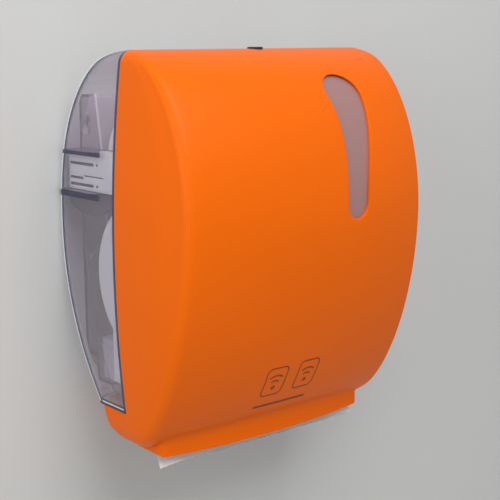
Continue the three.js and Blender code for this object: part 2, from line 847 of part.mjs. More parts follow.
// Lock barrel with its key slot, and the hook that turns behind the catch
function lockBarrel() {
  const barrel = uprightPin(0, lockDepth, lockRadius, lockBottom, housingTop + lockProud, 28);
  const bar = block(
    0, hookReach, lockDepth - hookWidth / 2, lockDepth + hookWidth / 2, lockBottom, lockBottom + hookBarHeight);
  const tip = block(
    hookReach - hookTipSize, hookReach, lockDepth - hookTipSize / 2, lockDepth + hookTipSize / 2,
    lockBottom, lockBottom + hookTipHeight);
  const slot = block(
    -lockRadius / 2, lockRadius / 2, lockDepth - hookBarHeight / 4, lockDepth + hookBarHeight / 4,
    housingTop, high);
  return without(joined([barrel, bar, tip]), [slot]);
}

function lockCatch() {
  const top = catchTop;
  const plate = block(-catchHalfWidth, catchHalfWidth, catchRear, catchLipDepth, top - catchThickness, top);
  const lip = block(
    -catchLipHalf, catchLipHalf, catchLipDepth - catchThickness, catchLipDepth, catchLipBottom, top);
  return plate.add(lip);
}

function wallScrew(x, z) {
  const shank = depthPin(x, z, screwShankRadius, seatGap, plateThickness + screwHeadHeight / 2, 12);
  const face = plateThickness + seatGap;
  const head = depthPin(x, z, screwHeadRadius, face, face + screwHeadHeight, 14);
  const recess = block(
    x - screwHeadRadius / 2, x + screwHeadRadius / 2, face + screwHeadHeight / 2, face + 2 * screwHeadHeight,
    z - screwHeadHeight / 4, z + screwHeadHeight / 4);
  return shank.add(head).subtract(recess);
}

// Roll arm: a ribbed wall leg, a bend inward and a front leg with the hub's bore
function rollArm() {
  const outer = armOuterX;
  const front = armInnerX + armThickness;
  const root = armRoot;
  const plan = [
    [outer, root], [outer, armBend], [outer - armThickness / 2, armBend + armThickness],
    [front, armBend + armBendRun], [front, armFront], [armInnerX, armFront],
    [armInnerX, armBend + armBendRun - armThickness / 2],
    [outer - armThickness - armRibDepth, armBend - armThickness], [outer - armThickness - armRibDepth, root],
  ];
  const z0 = rollHeight - armHeight / 2;
  const body = topPlate(plan, z0, z0 + armHeight);
  const grooves = armGrooveShares.map(([foot, tall, end]) => block(
    outer - armRibDepth, outer + cutOverrun, pocketFront * grooveStartShare, pocketFront * end,
    z0 + armHeight * foot, z0 + armHeight * (foot + tall)));
  const bore = rod(0, far, hubPinRadius + runGap, rollDepth, rollHeight, 20);
  return without(body, [...grooves, bore, roundedEnd(z0)]);
}

// What rounds the front end of an arm about the hub
function roundedEnd(z0) {
  const radius = armHeight / 2;
  const centre = armFront - radius;
  const arc = arcPoints(centre, rollHeight, radius, -90, 90, 16);
  const cut = [[centre, z0 - cutOverrun], ...arc, [centre, z0 + armHeight + cutOverrun]];
  const beyond = armFront + cutOverrun;
  return sidePlate([...cut, [beyond, z0 + armHeight + cutOverrun], [beyond, z0 - cutOverrun]], 0, far);
}

// Roll hub: a pin in the arm, a flange against the roll and a tapered spigot in the core
function rollHub() {
  const flangeIn = rollHalfWidth + seatGap;
  const flangeOut = flangeIn + hubFlangeThickness;
  const spigot = coreRadius - coreWall - 2 * runGap;
  const profile = [
    [flangeIn - hubSpigotLength, 0], [flangeIn - hubSpigotLength, hubTipRadius], [flangeIn, spigot],
    [flangeIn, hubFlangeRadius], [flangeOut, hubFlangeRadius],
    [flangeOut, hubPinRadius], [armInnerX + armThickness, hubPinRadius], [armInnerX + armThickness, 0],
  ];
  return turned(profile, rollDepth, rollHeight, 22);
}

function rollCore() {
  return ring(-rollHalfWidth, rollHalfWidth, coreRadius - coreWall, coreRadius, rollDepth, rollHeight, 28);
}

function towelRoll() {
  return ring(-rollHalfWidth, rollHalfWidth, coreRadius + seatGap, rollRadius, rollDepth, rollHeight, 44);
}

// Depth of the towel where it runs down past the drive roller
const towelDepth = driveDepth + driveRadius + seatGap;

// Towel web: from its tangent point on the roll to the nip, then down and out below the lip
function towelWeb() {
  const outer = rollRadius + seatGap + towelThickness;
  const nip = [towelDepth + towelThickness, driveHeight + driveRadius / 2];
  const [dd, dz] = [nip[0] - rollDepth, nip[1] - rollHeight];
  const aim = Math.atan2(dz, dd) + Math.acos(outer / Math.hypot(dd, dz));
  const tangent = [rollDepth + outer * Math.cos(aim), rollHeight + outer * Math.sin(aim)];
  const across = [-towelThickness * Math.cos(aim), -towelThickness * Math.sin(aim)];
  const line = [tangent, nip, [nip[0], towelBendHeight], [towelEndDepth, towelEnd]];
  const back = [
    [towelEndDepth - towelThickness, towelEnd], [towelDepth, towelBendHeight],
    [towelDepth, nip[1]], [tangent[0] + across[0], tangent[1] + across[1]],
  ];
  return sidePlate([...line, ...back], -towelHalfWidth, towelHalfWidth);
}

// The frames stop just below the hubs, so that a hub can pass over them as its arm flexes
const frameTop = rollHeight - hubFlangeRadius - hubPassGap;

// The legs reach back just far enough to house the roller's gear
const rollerReach = gearModule * (rollerTeeth / 2 + gearTipShare);
const frameLegRear = driveDepth - rollerReach - 2 * runGap - driveCoverWall;

// Outline of a side frame or its cover, drawn in by an inset: round back, straight front, a leg
function frameOutline(radius, front, bottom, inset) {
  const round = radius - inset;
  const rise = THREE.MathUtils.radToDeg(Math.asin((frameTop - inset - frameArcHeight) / round));
  const leg = frameLegRear + inset;
  const legEnd = THREE.MathUtils.radToDeg(Math.acos((frameArcDepth - leg) / round));
  const rear = THREE.MathUtils.radToDeg(Math.PI);
  const arc = arcPoints(frameArcDepth, frameArcHeight, round, rear - rise, rear + legEnd, 18);
  const foot = bottom + inset;
  return [[front - inset, frameTop - inset], ...arc, [leg, foot], [front - inset, foot]];
}

function gearPlaces() {
  const angle = THREE.MathUtils.degToRad(motorAngleDegrees);
  const motorReach = (gearModule * (wheelTeeth + pinionTeeth)) / 2;
  const motor = [wheelDepth + motorReach * Math.cos(angle), wheelHeight + motorReach * Math.sin(angle)];
  const first = (gearModule * (smallTeeth + idlerTeeth)) / 2;
  const second = (gearModule * (idlerTeeth + rollerTeeth)) / 2;
  const [dd, dz] = [driveDepth - wheelDepth, driveHeight - wheelHeight];
  const span = Math.hypot(dd, dz);
  const along = (first ** 2 - second ** 2 + span ** 2) / (2 * span);
  const aside = Math.sqrt(Math.max(0, first ** 2 - along ** 2));
  const idler = [
    wheelDepth + (along * dd - aside * dz) / span, wheelHeight + (along * dz + aside * dd) / span,
  ];
  return { motor, idler, wheel: [wheelDepth, wheelHeight], roller: [driveDepth, driveHeight] };
}

const places = gearPlaces();
const wheelReach = gearModule * (wheelTeeth / 2 + gearTipShare);
const driveCoverFront = wheelDepth + wheelReach + 2 * runGap + driveCoverWall;
const pinchDepth = towelDepth + towelThickness + seatGap + pinchRadius;

function sideFrame(withGears) {
  const points = frameOutline(frameArcRadius, frameFront, frameBottom, 0);
  const body = sidePlate(points, frameInnerX, frameInnerX + frameThickness);
  const hole = ([depth, height], radius) =>
    rod(frameInnerX - cutOverrun, frameInnerX + frameThickness + cutOverrun, radius, depth, height, 20);
  const cuts = [hole(places.roller, driveBushRadius + seatGap), pinchSlot()];
  if (withGears) {
    cuts.push(hole(places.motor, motorBossRadius + seatGap));
    cuts.push(hole(places.wheel, gearAxleRadius + seatGap), hole(places.idler, gearAxleRadius + seatGap));
  }
  return without(body, cuts);
}

// Slot in which a pinch bush slides away from the drive roller
function pinchSlot() {
  const half = pinchBushHalf + runGap;
  return block(
    frameInnerX - cutOverrun, frameInnerX + frameThickness + cutOverrun,
    pinchDepth - half, pinchDepth + half + pinchTravel, driveHeight - half, driveHeight + half);
}

// One spur gear's outline: trapezoid teeth with play, turned by a phase
function gearOutline(teeth, phase) {
  const pitch = (gearModule * teeth) / 2;
  const tip = pitch + gearModule * gearTipShare;
  const root = pitch - gearModule * gearRootShare;
  const step = (Math.PI * 2) / teeth;
  const half = step * (toothHalfShare - gearPlayShare / 2);
  const points = [];
  for (let i = 0; i < teeth; i++) {
    const centre = phase + i * step;
    const [foot, top] = [toothRootShare * half, toothTipShare * half];
    const corners = [[-foot, root], [-top, tip], [top, tip], [foot, root]];
    for (const [turn, radius] of corners) {
      points.push([radius * Math.cos(centre + turn), radius * Math.sin(centre + turn)]);
    }
  }
  return points;
}

function gear(teeth, [depth, height], phase, x0, x1, bore) {
  const points = gearOutline(teeth, phase).map(([a, b]) => [depth + a, height + b]);
  const blank = sidePlate(points, x0, x1);
  if (bore === 0) return blank;
  return blank.subtract(rod(x0 - cutOverrun, x1 + cutOverrun, bore, depth, height, 20));
}

// Phase at which a gear's gap faces a tooth of the gear before it
function meshPhase(teeth, from, to, teethBefore, phaseBefore) {
  const toward = Math.atan2(to[1] - from[1], to[0] - from[0]);
  const stepBefore = (Math.PI * 2) / teethBefore;
  const step = (Math.PI * 2) / teeth;
  const offset = (toward - phaseBefore) / stepBefore;
  const lead = offset - Math.round(offset);
  return toward + Math.PI + step / 2 + lead * step;
}

// Gear layers outward from the left frame
const layerOneIn = -(frameInnerX + frameThickness + 2 * runGap);
const layerOneOut = layerOneIn - gearFace;
const layerTwoIn = layerOneOut - runGap;
const layerTwoOut = layerTwoIn - gearFace;

const wheelPhase = 0;
const pinionPhase = meshPhase(pinionTeeth, places.wheel, places.motor, wheelTeeth, wheelPhase);
const idlerPhase = meshPhase(idlerTeeth, places.wheel, places.idler, smallTeeth, wheelPhase);
const rollerPhase = meshPhase(rollerTeeth, places.idler, places.roller, idlerTeeth, idlerPhase);

function reductionGear() {
  const bore = gearAxleRadius + runGap;
  const wheel = gear(wheelTeeth, places.wheel, wheelPhase, layerOneOut, layerOneIn, bore);
  const small = gear(smallTeeth, places.wheel, wheelPhase, layerTwoOut, layerOneOut + gearFace / 2, bore);
  return wheel.add(small);
}

function idlerGear() {
  const bore = gearAxleRadius + runGap;
  return gear(idlerTeeth, places.idler, idlerPhase, layerTwoOut, layerTwoIn, bore);
}

function motorPinion() {
  return gear(pinionTeeth, places.motor, pinionPhase, layerOneOut, layerOneIn, motorShaftRadius + seatGap);
}

function gearAxle([depth, height]) {
  const inner = -frameInnerX + seatGap + bushFlange;
  return turned([
    [layerTwoOut - runGap, 0], [layerTwoOut - runGap, gearAxleRadius],
    [-frameInnerX + seatGap, gearAxleRadius], [-frameInnerX + seatGap, gearAxleRadius * 2],
    [inner, gearAxleRadius * 2], [inner, 0],
  ], depth, height, 18);
}

function gearMotor() {
  const face = -frameInnerX + seatGap;
  const [depth, height] = places.motor;
  return turned([
    [layerOneOut, 0], [layerOneOut, motorShaftRadius], [layerOneIn + runGap, motorShaftRadius],
    [layerOneIn + runGap, motorBossRadius], [face, motorBossRadius], [face, motorRadius],
    [face + motorLength, motorRadius], [face + motorLength, 0],
  ], depth, height, 22);
}

// Drive cover: a round-backed tub over the gear train, with a clip window in its face
function driveCover() {
  const outer = frameOutline(driveCoverRadius, driveCoverFront, driveCoverBottom, 0);
  const shell = sidePlate(outer, -driveCoverReach, -(frameInnerX + frameThickness + seatGap));
  const inner = frameOutline(driveCoverRadius, driveCoverFront, driveCoverBottom, driveCoverWall);
  const hollow = sidePlate(inner, -driveCoverReach + driveCoverWall, 0);
  const [left, right] = [clipDepth - clipWidth / 2, clipDepth + clipWidth / 2];
  const [under, over] = [clipHeight - clipLength / 2, clipHeight + clipLength / 2];
  const face = -driveCoverReach + driveCoverWall / 2;
  const groove = block(-driveCoverReach - cutOverrun, face, left, right, under, over);
  const tongue = block(
    -driveCoverReach, face, left + driveCoverWall / 2, right, under + driveCoverWall / 2, over - driveCoverWall / 2);
  return without(shell, [hollow, without(groove, [tongue])]);
}

function driveShaft() {
  const end = frameInnerX + frameThickness + 2 * bushFlange;
  return rod(layerTwoOut, end, driveShaftRadius, driveDepth, driveHeight, 20);
}

function rollerGear() {
  const bore = driveShaftRadius + seatGap;
  return gear(rollerTeeth, places.roller, rollerPhase, layerTwoOut, layerTwoIn, bore);
}

// Grooved rubber sleeve on the drive shaft
function driveRoller() {
  const groove = driveHalfLength / 12;
  const profile = [[-driveHalfLength, driveShaftRadius + seatGap]];
  for (let i = 0; i < 4; i++) {
    const start = -driveHalfLength + i * (driveHalfLength / 2 + groove / 4);
    const end = start + driveHalfLength / 2 - groove * 0.75;
    profile.push([start, driveRadius], [end, driveRadius]);
    if (i < 3) profile.push([end, driveRadius - trayWall], [end + groove, driveRadius - trayWall]);
  }
  profile.push([driveHalfLength, driveRadius], [driveHalfLength, driveShaftRadius + seatGap]);
  return turned(profile, driveDepth, driveHeight, 18);
}

function driveBush(side) {
  const outside = frameInnerX + frameThickness + seatGap;
  const inside = frameInnerX - seatGap - bushFlange;
  const bore = driveShaftRadius + runGap;
  const piece = turned([
    [inside, bore], [inside, driveBushRadius + bushFlange], [frameInnerX - seatGap, driveBushRadius + bushFlange],
    [frameInnerX - seatGap, driveBushRadius], [outside, driveBushRadius], [outside, bore],
  ], driveDepth, driveHeight, 16);
  return side > 0 ? piece : mirrored(piece);
}

function pinchRoller() {
  const end = frameInnerX + frameThickness + seatGap;
  const half = driveHalfLength;
  return turned([
    [-end, 0], [-end, pinchShaftRadius], [-half, pinchShaftRadius], [-half, pinchRadius],
    [half, pinchRadius], [half, pinchShaftRadius], [end, pinchShaftRadius], [end, 0],
  ], pinchDepth, driveHeight, 18);
}

// Square bush that carries one end of the pinch roller
function pinchBush(side) {
  const half = pinchBushHalf;
  const body = block(
    frameInnerX - seatGap, frameInnerX + frameThickness + seatGap,
    pinchDepth - half, pinchDepth + half, driveHeight - half, driveHeight + half);
  const flange = block(
    frameInnerX - seatGap - bushFlange, frameInnerX - seatGap,
    pinchDepth - half, pinchDepth + half, driveHeight - half - bushFlange, driveHeight + half + bushFlange);
  const bore = rod(0, far, pinchShaftRadius + runGap, pinchDepth, driveHeight, 18);
  const piece = body.add(flange).subtract(bore);
  return side > 0 ? piece : mirrored(piece);
}

// Leaf spring that bears on a pinch bush, folded round the frame's front edge
function pinchSpring(side) {
  const x0 = frameInnerX - seatGap - bushFlange - springThickness - seatGap;
  const bear = pinchDepth + pinchBushHalf + seatGap;
  const rise = driveHeight + pinchBushHalf * 3;
  const t = springThickness;
  const points = [
    [bear, driveHeight - pinchBushHalf / 2], [bear + t, driveHeight - pinchBushHalf / 2],
    [bear + t, rise], [frameFront + seatGap + t, rise + pinchBushHalf],
    [frameFront + seatGap + t, rise + 4 * pinchBushHalf], [frameFront + seatGap, rise + 4 * pinchBushHalf],
    [frameFront + seatGap, rise + pinchBushHalf + t], [bear, rise + t],
  ];
  const piece = sidePlate(points, x0, frameInnerX + frameThickness);
  const relief = block(
    frameInnerX - seatGap, frameInnerX + frameThickness + cutOverrun,
    bear - cutOverrun, frameFront + seatGap / 2, low, high);
  return side > 0 ? piece.subtract(relief) : mirrored(piece.subtract(relief));
}

// Mounting ears that tie a cross piece to both side frames
function frameEars(d0, d1) {
  return [-1, 1].map((side) => {
    const span = [side * (chuteHalfWidth - trayWall), side * (frameInnerX - seatGap)].sort((a, b) => a - b);
    return block(span[0], span[1], d0, d1, earBottom, earTop);
  });
}

// Outlet chute: guide wall behind the towel, bottom flange with the sensor's seat
function outletChute() {
  const face = towelDepth - chuteStandoff;
  const points = [
    [face, chuteTop], [face, chuteBottom], [chuteRear, chuteBottom], [chuteRear, chuteBottom + chuteWall],
    [face - chuteWall, chuteBottom + chuteWall], [face - chuteWall, chuteTop],
  ];
  const body = joined([sidePlate(points, -chuteHalfWidth, chuteHalfWidth), ...frameEars(face - chuteWall, face)]);
  return body.subtract(uprightPin(0, sensorDepth, sensorRadius + seatGap, low, trayFloor, 24));
}

function sensorWindow() {
  const z0 = chuteBottom - seatGap;
  return uprightPin(0, sensorDepth, sensorRadius, z0, z0 + sensorThickness, 24);
}

function bladeCarrier() {
  const face = towelDepth + bladeStandoff + bladeThickness + seatGap;
  const back = face + carrierThickness;
  const body = block(-chuteHalfWidth, chuteHalfWidth, face, back, carrierBottom, carrierTop);
  return joined([body, ...frameEars(face, back)]);
}

// Serrated steel blade on the carrier's rear face
function tearBlade() {
  const root = bladeBottom + toothDepth;
  const shape = new THREE.Shape();
  shape.moveTo(-towelHalfWidth, bladeTop);
  shape.lineTo(-towelHalfWidth, root);
  for (let i = 0; i < toothCount; i++) {
    const left = -towelHalfWidth + (2 * towelHalfWidth * i) / toothCount;
    const right = -towelHalfWidth + (2 * towelHalfWidth * (i + 1)) / toothCount;
    shape.lineTo((left + right) / 2, bladeBottom);
    shape.lineTo(right, root);
  }
  shape.lineTo(towelHalfWidth, bladeTop);
  const face = towelDepth + bladeStandoff;
  return frontPlate(shape, face, face + bladeThickness);
}

// Battery box: open-topped tub for four cells in a row
const boxDepth = 2 * (cellRadius + boxWall + seatGap);
const boxTop = boxBottom + boxDepth;
const cellAxis = [boxRear + boxDepth / 2, boxBottom + boxDepth / 2];

function batteryBox() {
  const outer = block(-boxHalfWidth, boxHalfWidth, boxRear, boxRear + boxDepth, boxBottom, boxTop);
  const inner = block(
    -boxHalfWidth + boxWall, boxHalfWidth - boxWall, boxRear + boxWall, boxRear + boxDepth - boxWall,
    boxBottom + boxWall, boxTop + cutOverrun);
  const tabs = [-1, 1].map((side) => {
    const span = [side * (boxHalfWidth - boxWall), side * (plateHalfWidth - trayWall - seatGap)];
    span.sort((a, b) => a - b);
    return block(span[0], span[1], boxRear, boxRear + boxDepth / 2, boxTop - 2 * boxWall, boxTop - boxWall);
  });
  return joined([outer.subtract(inner), ...tabs]);
}

function batteryDoor() {
  const hinge = [boxRear + doorHingeRadius, boxTop + seatGap + doorHingeRadius];
  const plate = block(
    -boxHalfWidth, boxHalfWidth, hinge[0], boxRear + boxDepth,
    boxTop + seatGap, boxTop + seatGap + doorThickness);
  const barrel = rod(-boxHalfWidth, boxHalfWidth, doorHingeRadius, hinge[0], hinge[1], 14);
  const grip = block(
    -boxHalfWidth / 8, boxHalfWidth / 8, boxRear + boxDepth - doorThickness, boxRear + boxDepth,
    boxTop + seatGap, boxTop + seatGap + 2 * doorThickness);
  return joined([plate, barrel, grip]);
}

function batteryCell(index) {
  const x0 = -(cellPitch * cellCount) / 2 + index * cellPitch;
  return turned([
    [x0, 0], [x0, cellRadius], [x0 + cellLength, cellRadius],
    [x0 + cellLength, cellTipRadius], [x0 + cellLength + cellTipHeight, cellTipRadius],
    [x0 + cellLength + cellTipHeight, 0],
  ], cellAxis[0], cellAxis[1], 20);
}

// Sheet metal contact at one end of the row of cells
function contactPlate(side) {
  const row = (cellPitch * cellCount) / 2;
  const wallFace = boxHalfWidth - boxWall - seatGap;
  const half = cellRadius * contactShare;
  const near = side > 0 ? row : row + seatGap;
  const plate = block(
    wallFace - contactThickness, wallFace, cellAxis[0] - half, cellAxis[0] + half,
    cellAxis[1] - half, cellAxis[1] + half);
  const dimple = rod(near, wallFace - contactThickness / 2, cellTipRadius, cellAxis[0], cellAxis[1], 16);
  const piece = plate.add(dimple);
  return side > 0 ? piece : mirrored(piece);
}

function bridgePlate() {
  const reach = plateHalfWidth - trayWall - seatGap;
  const plate = block(-reach, reach, bridgeRear, bridgeRear + bridgeThickness, bridgeBottom, bridgeTop);
  const saddle = block(
    -reach + bridgeThickness, -reach + motorLength * saddleShare, bridgeRear + bridgeThickness / 2,
    places.motor[0] - motorRadius / 2, places.motor[1] - motorRadius / 2, places.motor[1] + motorRadius / 2);
  const barrel = rod(-far, far, motorRadius + seatGap, places.motor[0], places.motor[1], 22);
  const posts = [boardLeft, boardRight].flatMap((x, side) => [boardBottom, boardTop].map((z, end) => depthPin(
    x + (side ? -1 : 1) * boardStandoff, z + (end ? -1 : 1) * boardStandoff, boardStandoff - runGap,
    bridgeRear + bridgeThickness / 2, bridgeRear + bridgeThickness + boardStandoff - seatGap, 12)));
  const earBottomHeight = bridgeTop - bridgeEarHeight;
  const right = joined([
    block(reach - bridgeThickness, reach, bridgeRear, bridgeEarFront, earBottomHeight, bridgeTop),
    block(
      reach - bridgeThickness, frameInnerX - seatGap, ribLowDepth + seatGap, bridgeEarFront,
      earBottomHeight, bridgeTop),
  ]);
  return joined([plate, saddle.subtract(barrel), ...posts, right, mirrored(right)]);
}

// Circuit board with a few plain components
function circuitBoard() {
  const d0 = bridgeRear + bridgeThickness + boardStandoff;
  const board = block(boardLeft, boardRight, d0, d0 + boardThickness, boardBottom, boardTop);
  const span = boardRight - boardLeft;
  const tall = boardTop - boardBottom;
  const partShares = [
    [0.12, 0.3, 0.3, 0.55, 3], [0.38, 0.5, 0.2, 0.45, 1.6], [0.6, 0.68, 0.5, 0.75, 5], [0.78, 0.94, 0.25, 0.7, 4],
  ];
  const parts = partShares.map(([x0, x1, z0, z1, share]) => block(
    boardLeft + x0 * span, boardLeft + x1 * span, d0 + boardThickness / 2, d0 + boardThickness * (1 + share / 2),
    boardBottom + z0 * tall, boardBottom + z1 * tall));
  return joined([board, ...parts]);
}

// Control box on the outer side of the right frame
const controlInner = frameInnerX + frameThickness + seatGap;
const controlMiddle = controlInner + controlWidth / 2;

function controlBox() {
  const outer = block(
    controlInner, controlInner + controlWidth, controlRear, controlFront, controlBottom, controlTop);
  const hollow = block(
    controlInner + controlWall, controlInner + controlWidth - controlWall,
    controlRear + controlWall, controlFront - controlWall,
    controlBottom + controlWall, controlTop - controlWall);
  const service = block(
    controlInner + 2 * controlWall, controlInner + controlWidth - 2 * controlWall,
    controlRear - cutOverrun, controlRear + cutOverrun,
    controlBottom + 2 * controlWall, controlTop - 2 * controlWall);
  const buttonHole = depthPin(
    controlMiddle, buttonHeight, buttonRadius + runGap, controlFront - cutOverrun, controlFront + cutOverrun, 20);
  const switchHole = block(
    controlMiddle - switchWidth / 2 - runGap, controlMiddle + switchWidth / 2 + runGap,
    controlFront - cutOverrun, controlFront + cutOverrun,
    switchHeight - switchLength / 2 - runGap, switchHeight + switchLength / 2 + runGap);
  return without(outer, [hollow, service, buttonHole, switchHole]);
}

function feedButton() {
  const cap = depthPin(
    controlMiddle, buttonHeight, buttonRadius, controlFront - controlWall, controlFront + buttonProud, 20);
  const flange = depthPin(
    controlMiddle, buttonHeight, buttonRadius + controlWall / 2,
    controlFront - controlWall - seatGap - controlWall / 2, controlFront - controlWall - seatGap, 20);
  const stem = depthPin(
    controlMiddle, buttonHeight, buttonRadius / 2,
    controlFront - 3 * controlWall - seatGap, controlFront - controlWall, 12);
  return joined([cap, flange, stem]);
}

// Rocker that turns on a pin across its middle
function powerSwitch() {
  const x0 = controlMiddle - switchWidth / 2;
  const half = switchLength / 2 - runGap;
  const pivot = controlFront - controlWall;
  const points = [
    [pivot - controlWall, switchHeight - half * rockerFootShare], [controlFront, switchHeight - half * rockerEdgeShare],
    [controlFront + buttonProud, switchHeight - half * rockerCrownShare], [controlFront + controlWall / 2, switchHeight],
    [controlFront + controlWall / 2, switchHeight + half * rockerCrownShare], [pivot - controlWall, switchHeight + half * rockerFootShare],
  ];
  return sidePlate(points, x0, x0 + switchWidth);
}

const group = new THREE.Group();

function material(finish) {
  const [color, roughness, metalness] = finishes[finish];
  return new THREE.MeshStandardMaterial({ color, roughness, metalness });
}

function place(name, finish, whole) {
  const mesh = whole.getMesh();
  const geometry = new THREE.BufferGeometry();
  geometry.setAttribute("position", new THREE.Float32BufferAttribute(mesh.vertProperties, 3));
  geometry.setIndex(new THREE.Uint32BufferAttribute(mesh.triVerts, 1));
  geometry.computeVertexNormals();
  const node = new THREE.Mesh(geometry, material(finish));
  node.name = name;
  group.add(node);
}

place("wall_tray", "smoke", wallTray());
place("cover_shell", "orange", coverShell());
place("window_panel", "smokeWindow", windowPanel());
place("lock_barrel", "black", lockBarrel());
place("lock_catch", "steel", lockCatch());
place("hinge_pin_left", "steel", hingePin(-1));
place("hinge_pin_right", "steel", hingePin(1));
place("wall_screw_1", "steel", wallScrew(-keyholeX, keyholeZ + keyholeSlotRise));
place("wall_screw_2", "steel", wallScrew(keyholeX, keyholeZ + keyholeSlotRise));
place("wall_screw_3", "steel", wallScrew(-slotX, slotZ));
place("wall_screw_4", "steel", wallScrew(slotX, slotZ));

place("roll_arm_right", "white", rollArm());
place("roll_arm_left", "white", mirrored(rollArm()));
place("roll_hub_right", "nylon", rollHub());
place("roll_hub_left", "nylon", mirrored(rollHub()));
place("roll_core", "card", rollCore());
place("towel_roll", "paper", towelRoll());
place("towel_web", "paper", towelWeb());

place("side_frame_left", "white", mirrored(sideFrame(true)));
place("side_frame_right", "white", sideFrame(false));
place("drive_cover", "white", driveCover());
place("bridge_plate", "white", bridgePlate());
place("gear_motor", "steel", gearMotor());
place("motor_pinion", "nylon", motorPinion());
place("reduction_gear", "nylon", reductionGear());
place("idler_gear", "nylon", idlerGear());
place("reduction_axle", "steel", gearAxle(places.wheel));
place("idler_axle", "steel", gearAxle(places.idler));
place("roller_gear", "nylon", rollerGear());
place("drive_shaft", "steel", driveShaft());
place("drive_roller", "rubber", driveRoller());
place("drive_bush_left", "nylon", driveBush(-1));
place("drive_bush_right", "nylon", driveBush(1));
place("pinch_roller", "grey", pinchRoller());
place("pinch_bush_left", "nylon", pinchBush(-1));
place("pinch_bush_right", "nylon", pinchBush(1));
place("pinch_spring_left", "steel", pinchSpring(-1));
place("pinch_spring_right", "steel", pinchSpring(1));

place("outlet_chute", "white", outletChute());
place("blade_carrier", "white", bladeCarrier());
place("tear_blade", "steel", tearBlade());
place("sensor_window", "lens", sensorWindow());
place("circuit_board", "board", circuitBoard());
place("battery_box", "white", batteryBox());
place("battery_door", "white", batteryDoor());
for (let i = 0; i < cellCount; i++) {
  place("battery_cell_" + (i + 1), "cell", batteryCell(i));
}
place("contact_left", "steel", contactPlate(-1));
place("contact_right", "steel", contactPlate(1));
place("control_box", "grey", controlBox());
place("feed_button", "black", feedButton());
place("power_switch", "black", powerSwitch());

export default group;
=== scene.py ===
import math

import bmesh
import bpy
from mathutils import Matrix, Vector


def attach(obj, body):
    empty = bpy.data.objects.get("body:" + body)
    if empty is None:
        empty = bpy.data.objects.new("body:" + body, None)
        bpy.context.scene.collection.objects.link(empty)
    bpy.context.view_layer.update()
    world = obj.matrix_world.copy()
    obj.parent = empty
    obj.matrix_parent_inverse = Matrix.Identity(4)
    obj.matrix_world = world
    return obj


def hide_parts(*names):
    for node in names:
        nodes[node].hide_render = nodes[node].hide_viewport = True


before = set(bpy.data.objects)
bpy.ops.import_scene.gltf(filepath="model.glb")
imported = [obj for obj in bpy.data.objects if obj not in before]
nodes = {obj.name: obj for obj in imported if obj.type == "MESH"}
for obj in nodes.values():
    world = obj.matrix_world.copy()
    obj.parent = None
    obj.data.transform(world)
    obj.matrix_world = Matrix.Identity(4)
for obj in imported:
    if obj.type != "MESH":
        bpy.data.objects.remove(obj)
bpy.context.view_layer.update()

# Sizes are in millimetres, as (x, depth from the wall, height) from the middle of the wall plate.

# --- Viewpoint ---
# A standing person's view from the left, about 1.2 m from the dispenser and level with its top.
# The long lens keeps the housing's sides nearly parallel.
eye = Vector((-0.733, -1.003, 0.1922))
turn, tilt, cant = (math.radians(a) for a in (39.26, -8.37, -0.51))
ahead = Vector((math.sin(turn) * math.cos(tilt), math.cos(turn) * math.cos(tilt), math.sin(tilt)))
right = Vector((math.cos(turn), -math.sin(turn), 0))
up = right.cross(ahead)
canted_right = right * math.cos(cant) + up * math.sin(cant)
canted_up = up * math.cos(cant) - right * math.sin(cant)
camera_data = bpy.data.cameras.new("viewpoint")
camera_data.lens = 80.72
camera_data.sensor_width = 36
camera_data.shift_x = 0.0006
camera_data.shift_y = -0.08


def placed(name, data):
    """An object of the scene with this data."""
    made = bpy.data.objects.new(name, data)
    bpy.context.scene.collection.objects.link(made)
    return made


camera = placed("viewpoint", camera_data)
axes = Matrix((canted_right, canted_up, -ahead)).transposed()
camera.matrix_world = Matrix.Translation(eye) @ axes.to_4x4()
bpy.context.scene.camera = camera

# --- Wall tray ---
# One injection moulding of smoked clear polycarbonate: almond cheeks, roof and wall plate.
# Ribs, arm shelves and hinge ears stand on the plate; four screws through it hold the dispenser up.
half_width, top, bottom = 167.8, 188.8, -202.8
side_bulge, side_depth, parting = 13.3, 206, 107
tray_floor, cheek_centre, front_centre, cheek_foot, cheek_drop = -161, 45, 28.5, 52, 3.4
back_round, front_round, top_corner, bottom_corner = 10, 12, 12, 22
front_crown, front_taper = 15, 13
# Widths of the bands of painted shade at the parting line and behind the rim, and heights by the tray's floor
# where the cheek's foot turns from painted shade to painted highlight.
parting_shade_band, rim_shade_band, rim_lines = 3.4, 2.6, (-0.6, 0.9)
tray_wall, run, overrun = 2.6, 0.35, 6
plate_half, plate_top, plate_bottom, plate_thickness = 137, 145, -153, 3
keyhole_x, keyhole_height, keyhole_radius, neck_top, neck_half = 129, 107, 5, 119, 2.6
slot_middle, slot_run, slot_height, slot_half, cut_depth = 124, 3.5, -25, 2.5, 9
hinge_depth, hinge_height, barrel, pin_radius, ear_start, ear_end = 58, -166.2, 4.8, 2, 118, 126
knuckle_length, knuckle_room = 15.3, 16.35


def rounding(radius, above):
    """What a rounded edge takes off at a distance from the edge."""
    into = max(0, radius - max(above, 0))
    return radius - math.sqrt(max(0, radius ** 2 - into ** 2))


def side_reach(z, inset):
    """Half width of the housing at a height."""
    middle, half = (top + bottom) / 2, (top - bottom) / 2
    corner = max(rounding(top_corner - inset, top - inset - z),
                 rounding(bottom_corner - inset, z - bottom - inset))
    return half_width - side_bulge * ((z - middle) / half) ** 2 - corner - inset


def swept(share, first, second):
    return max(0, 1 - max(0, share) ** first) ** (1 / second)


def back_depth(z, inset, foot=cheek_foot):
    """Depth of the housing's back at a height."""
    if z >= cheek_centre:
        share = (z - cheek_centre) / (top - inset - cheek_centre)
        return parting - (parting - inset) * swept(share, 2.35, 2.35)
    if z >= tray_floor:
        share = (cheek_centre - z) / (cheek_centre - tray_floor)
        return inset + foot * share ** 2.3
    share = (tray_floor - z) / (tray_floor - bottom - inset)
    return parting - (parting - foot - inset) * swept(share, 2.4, 2.4)


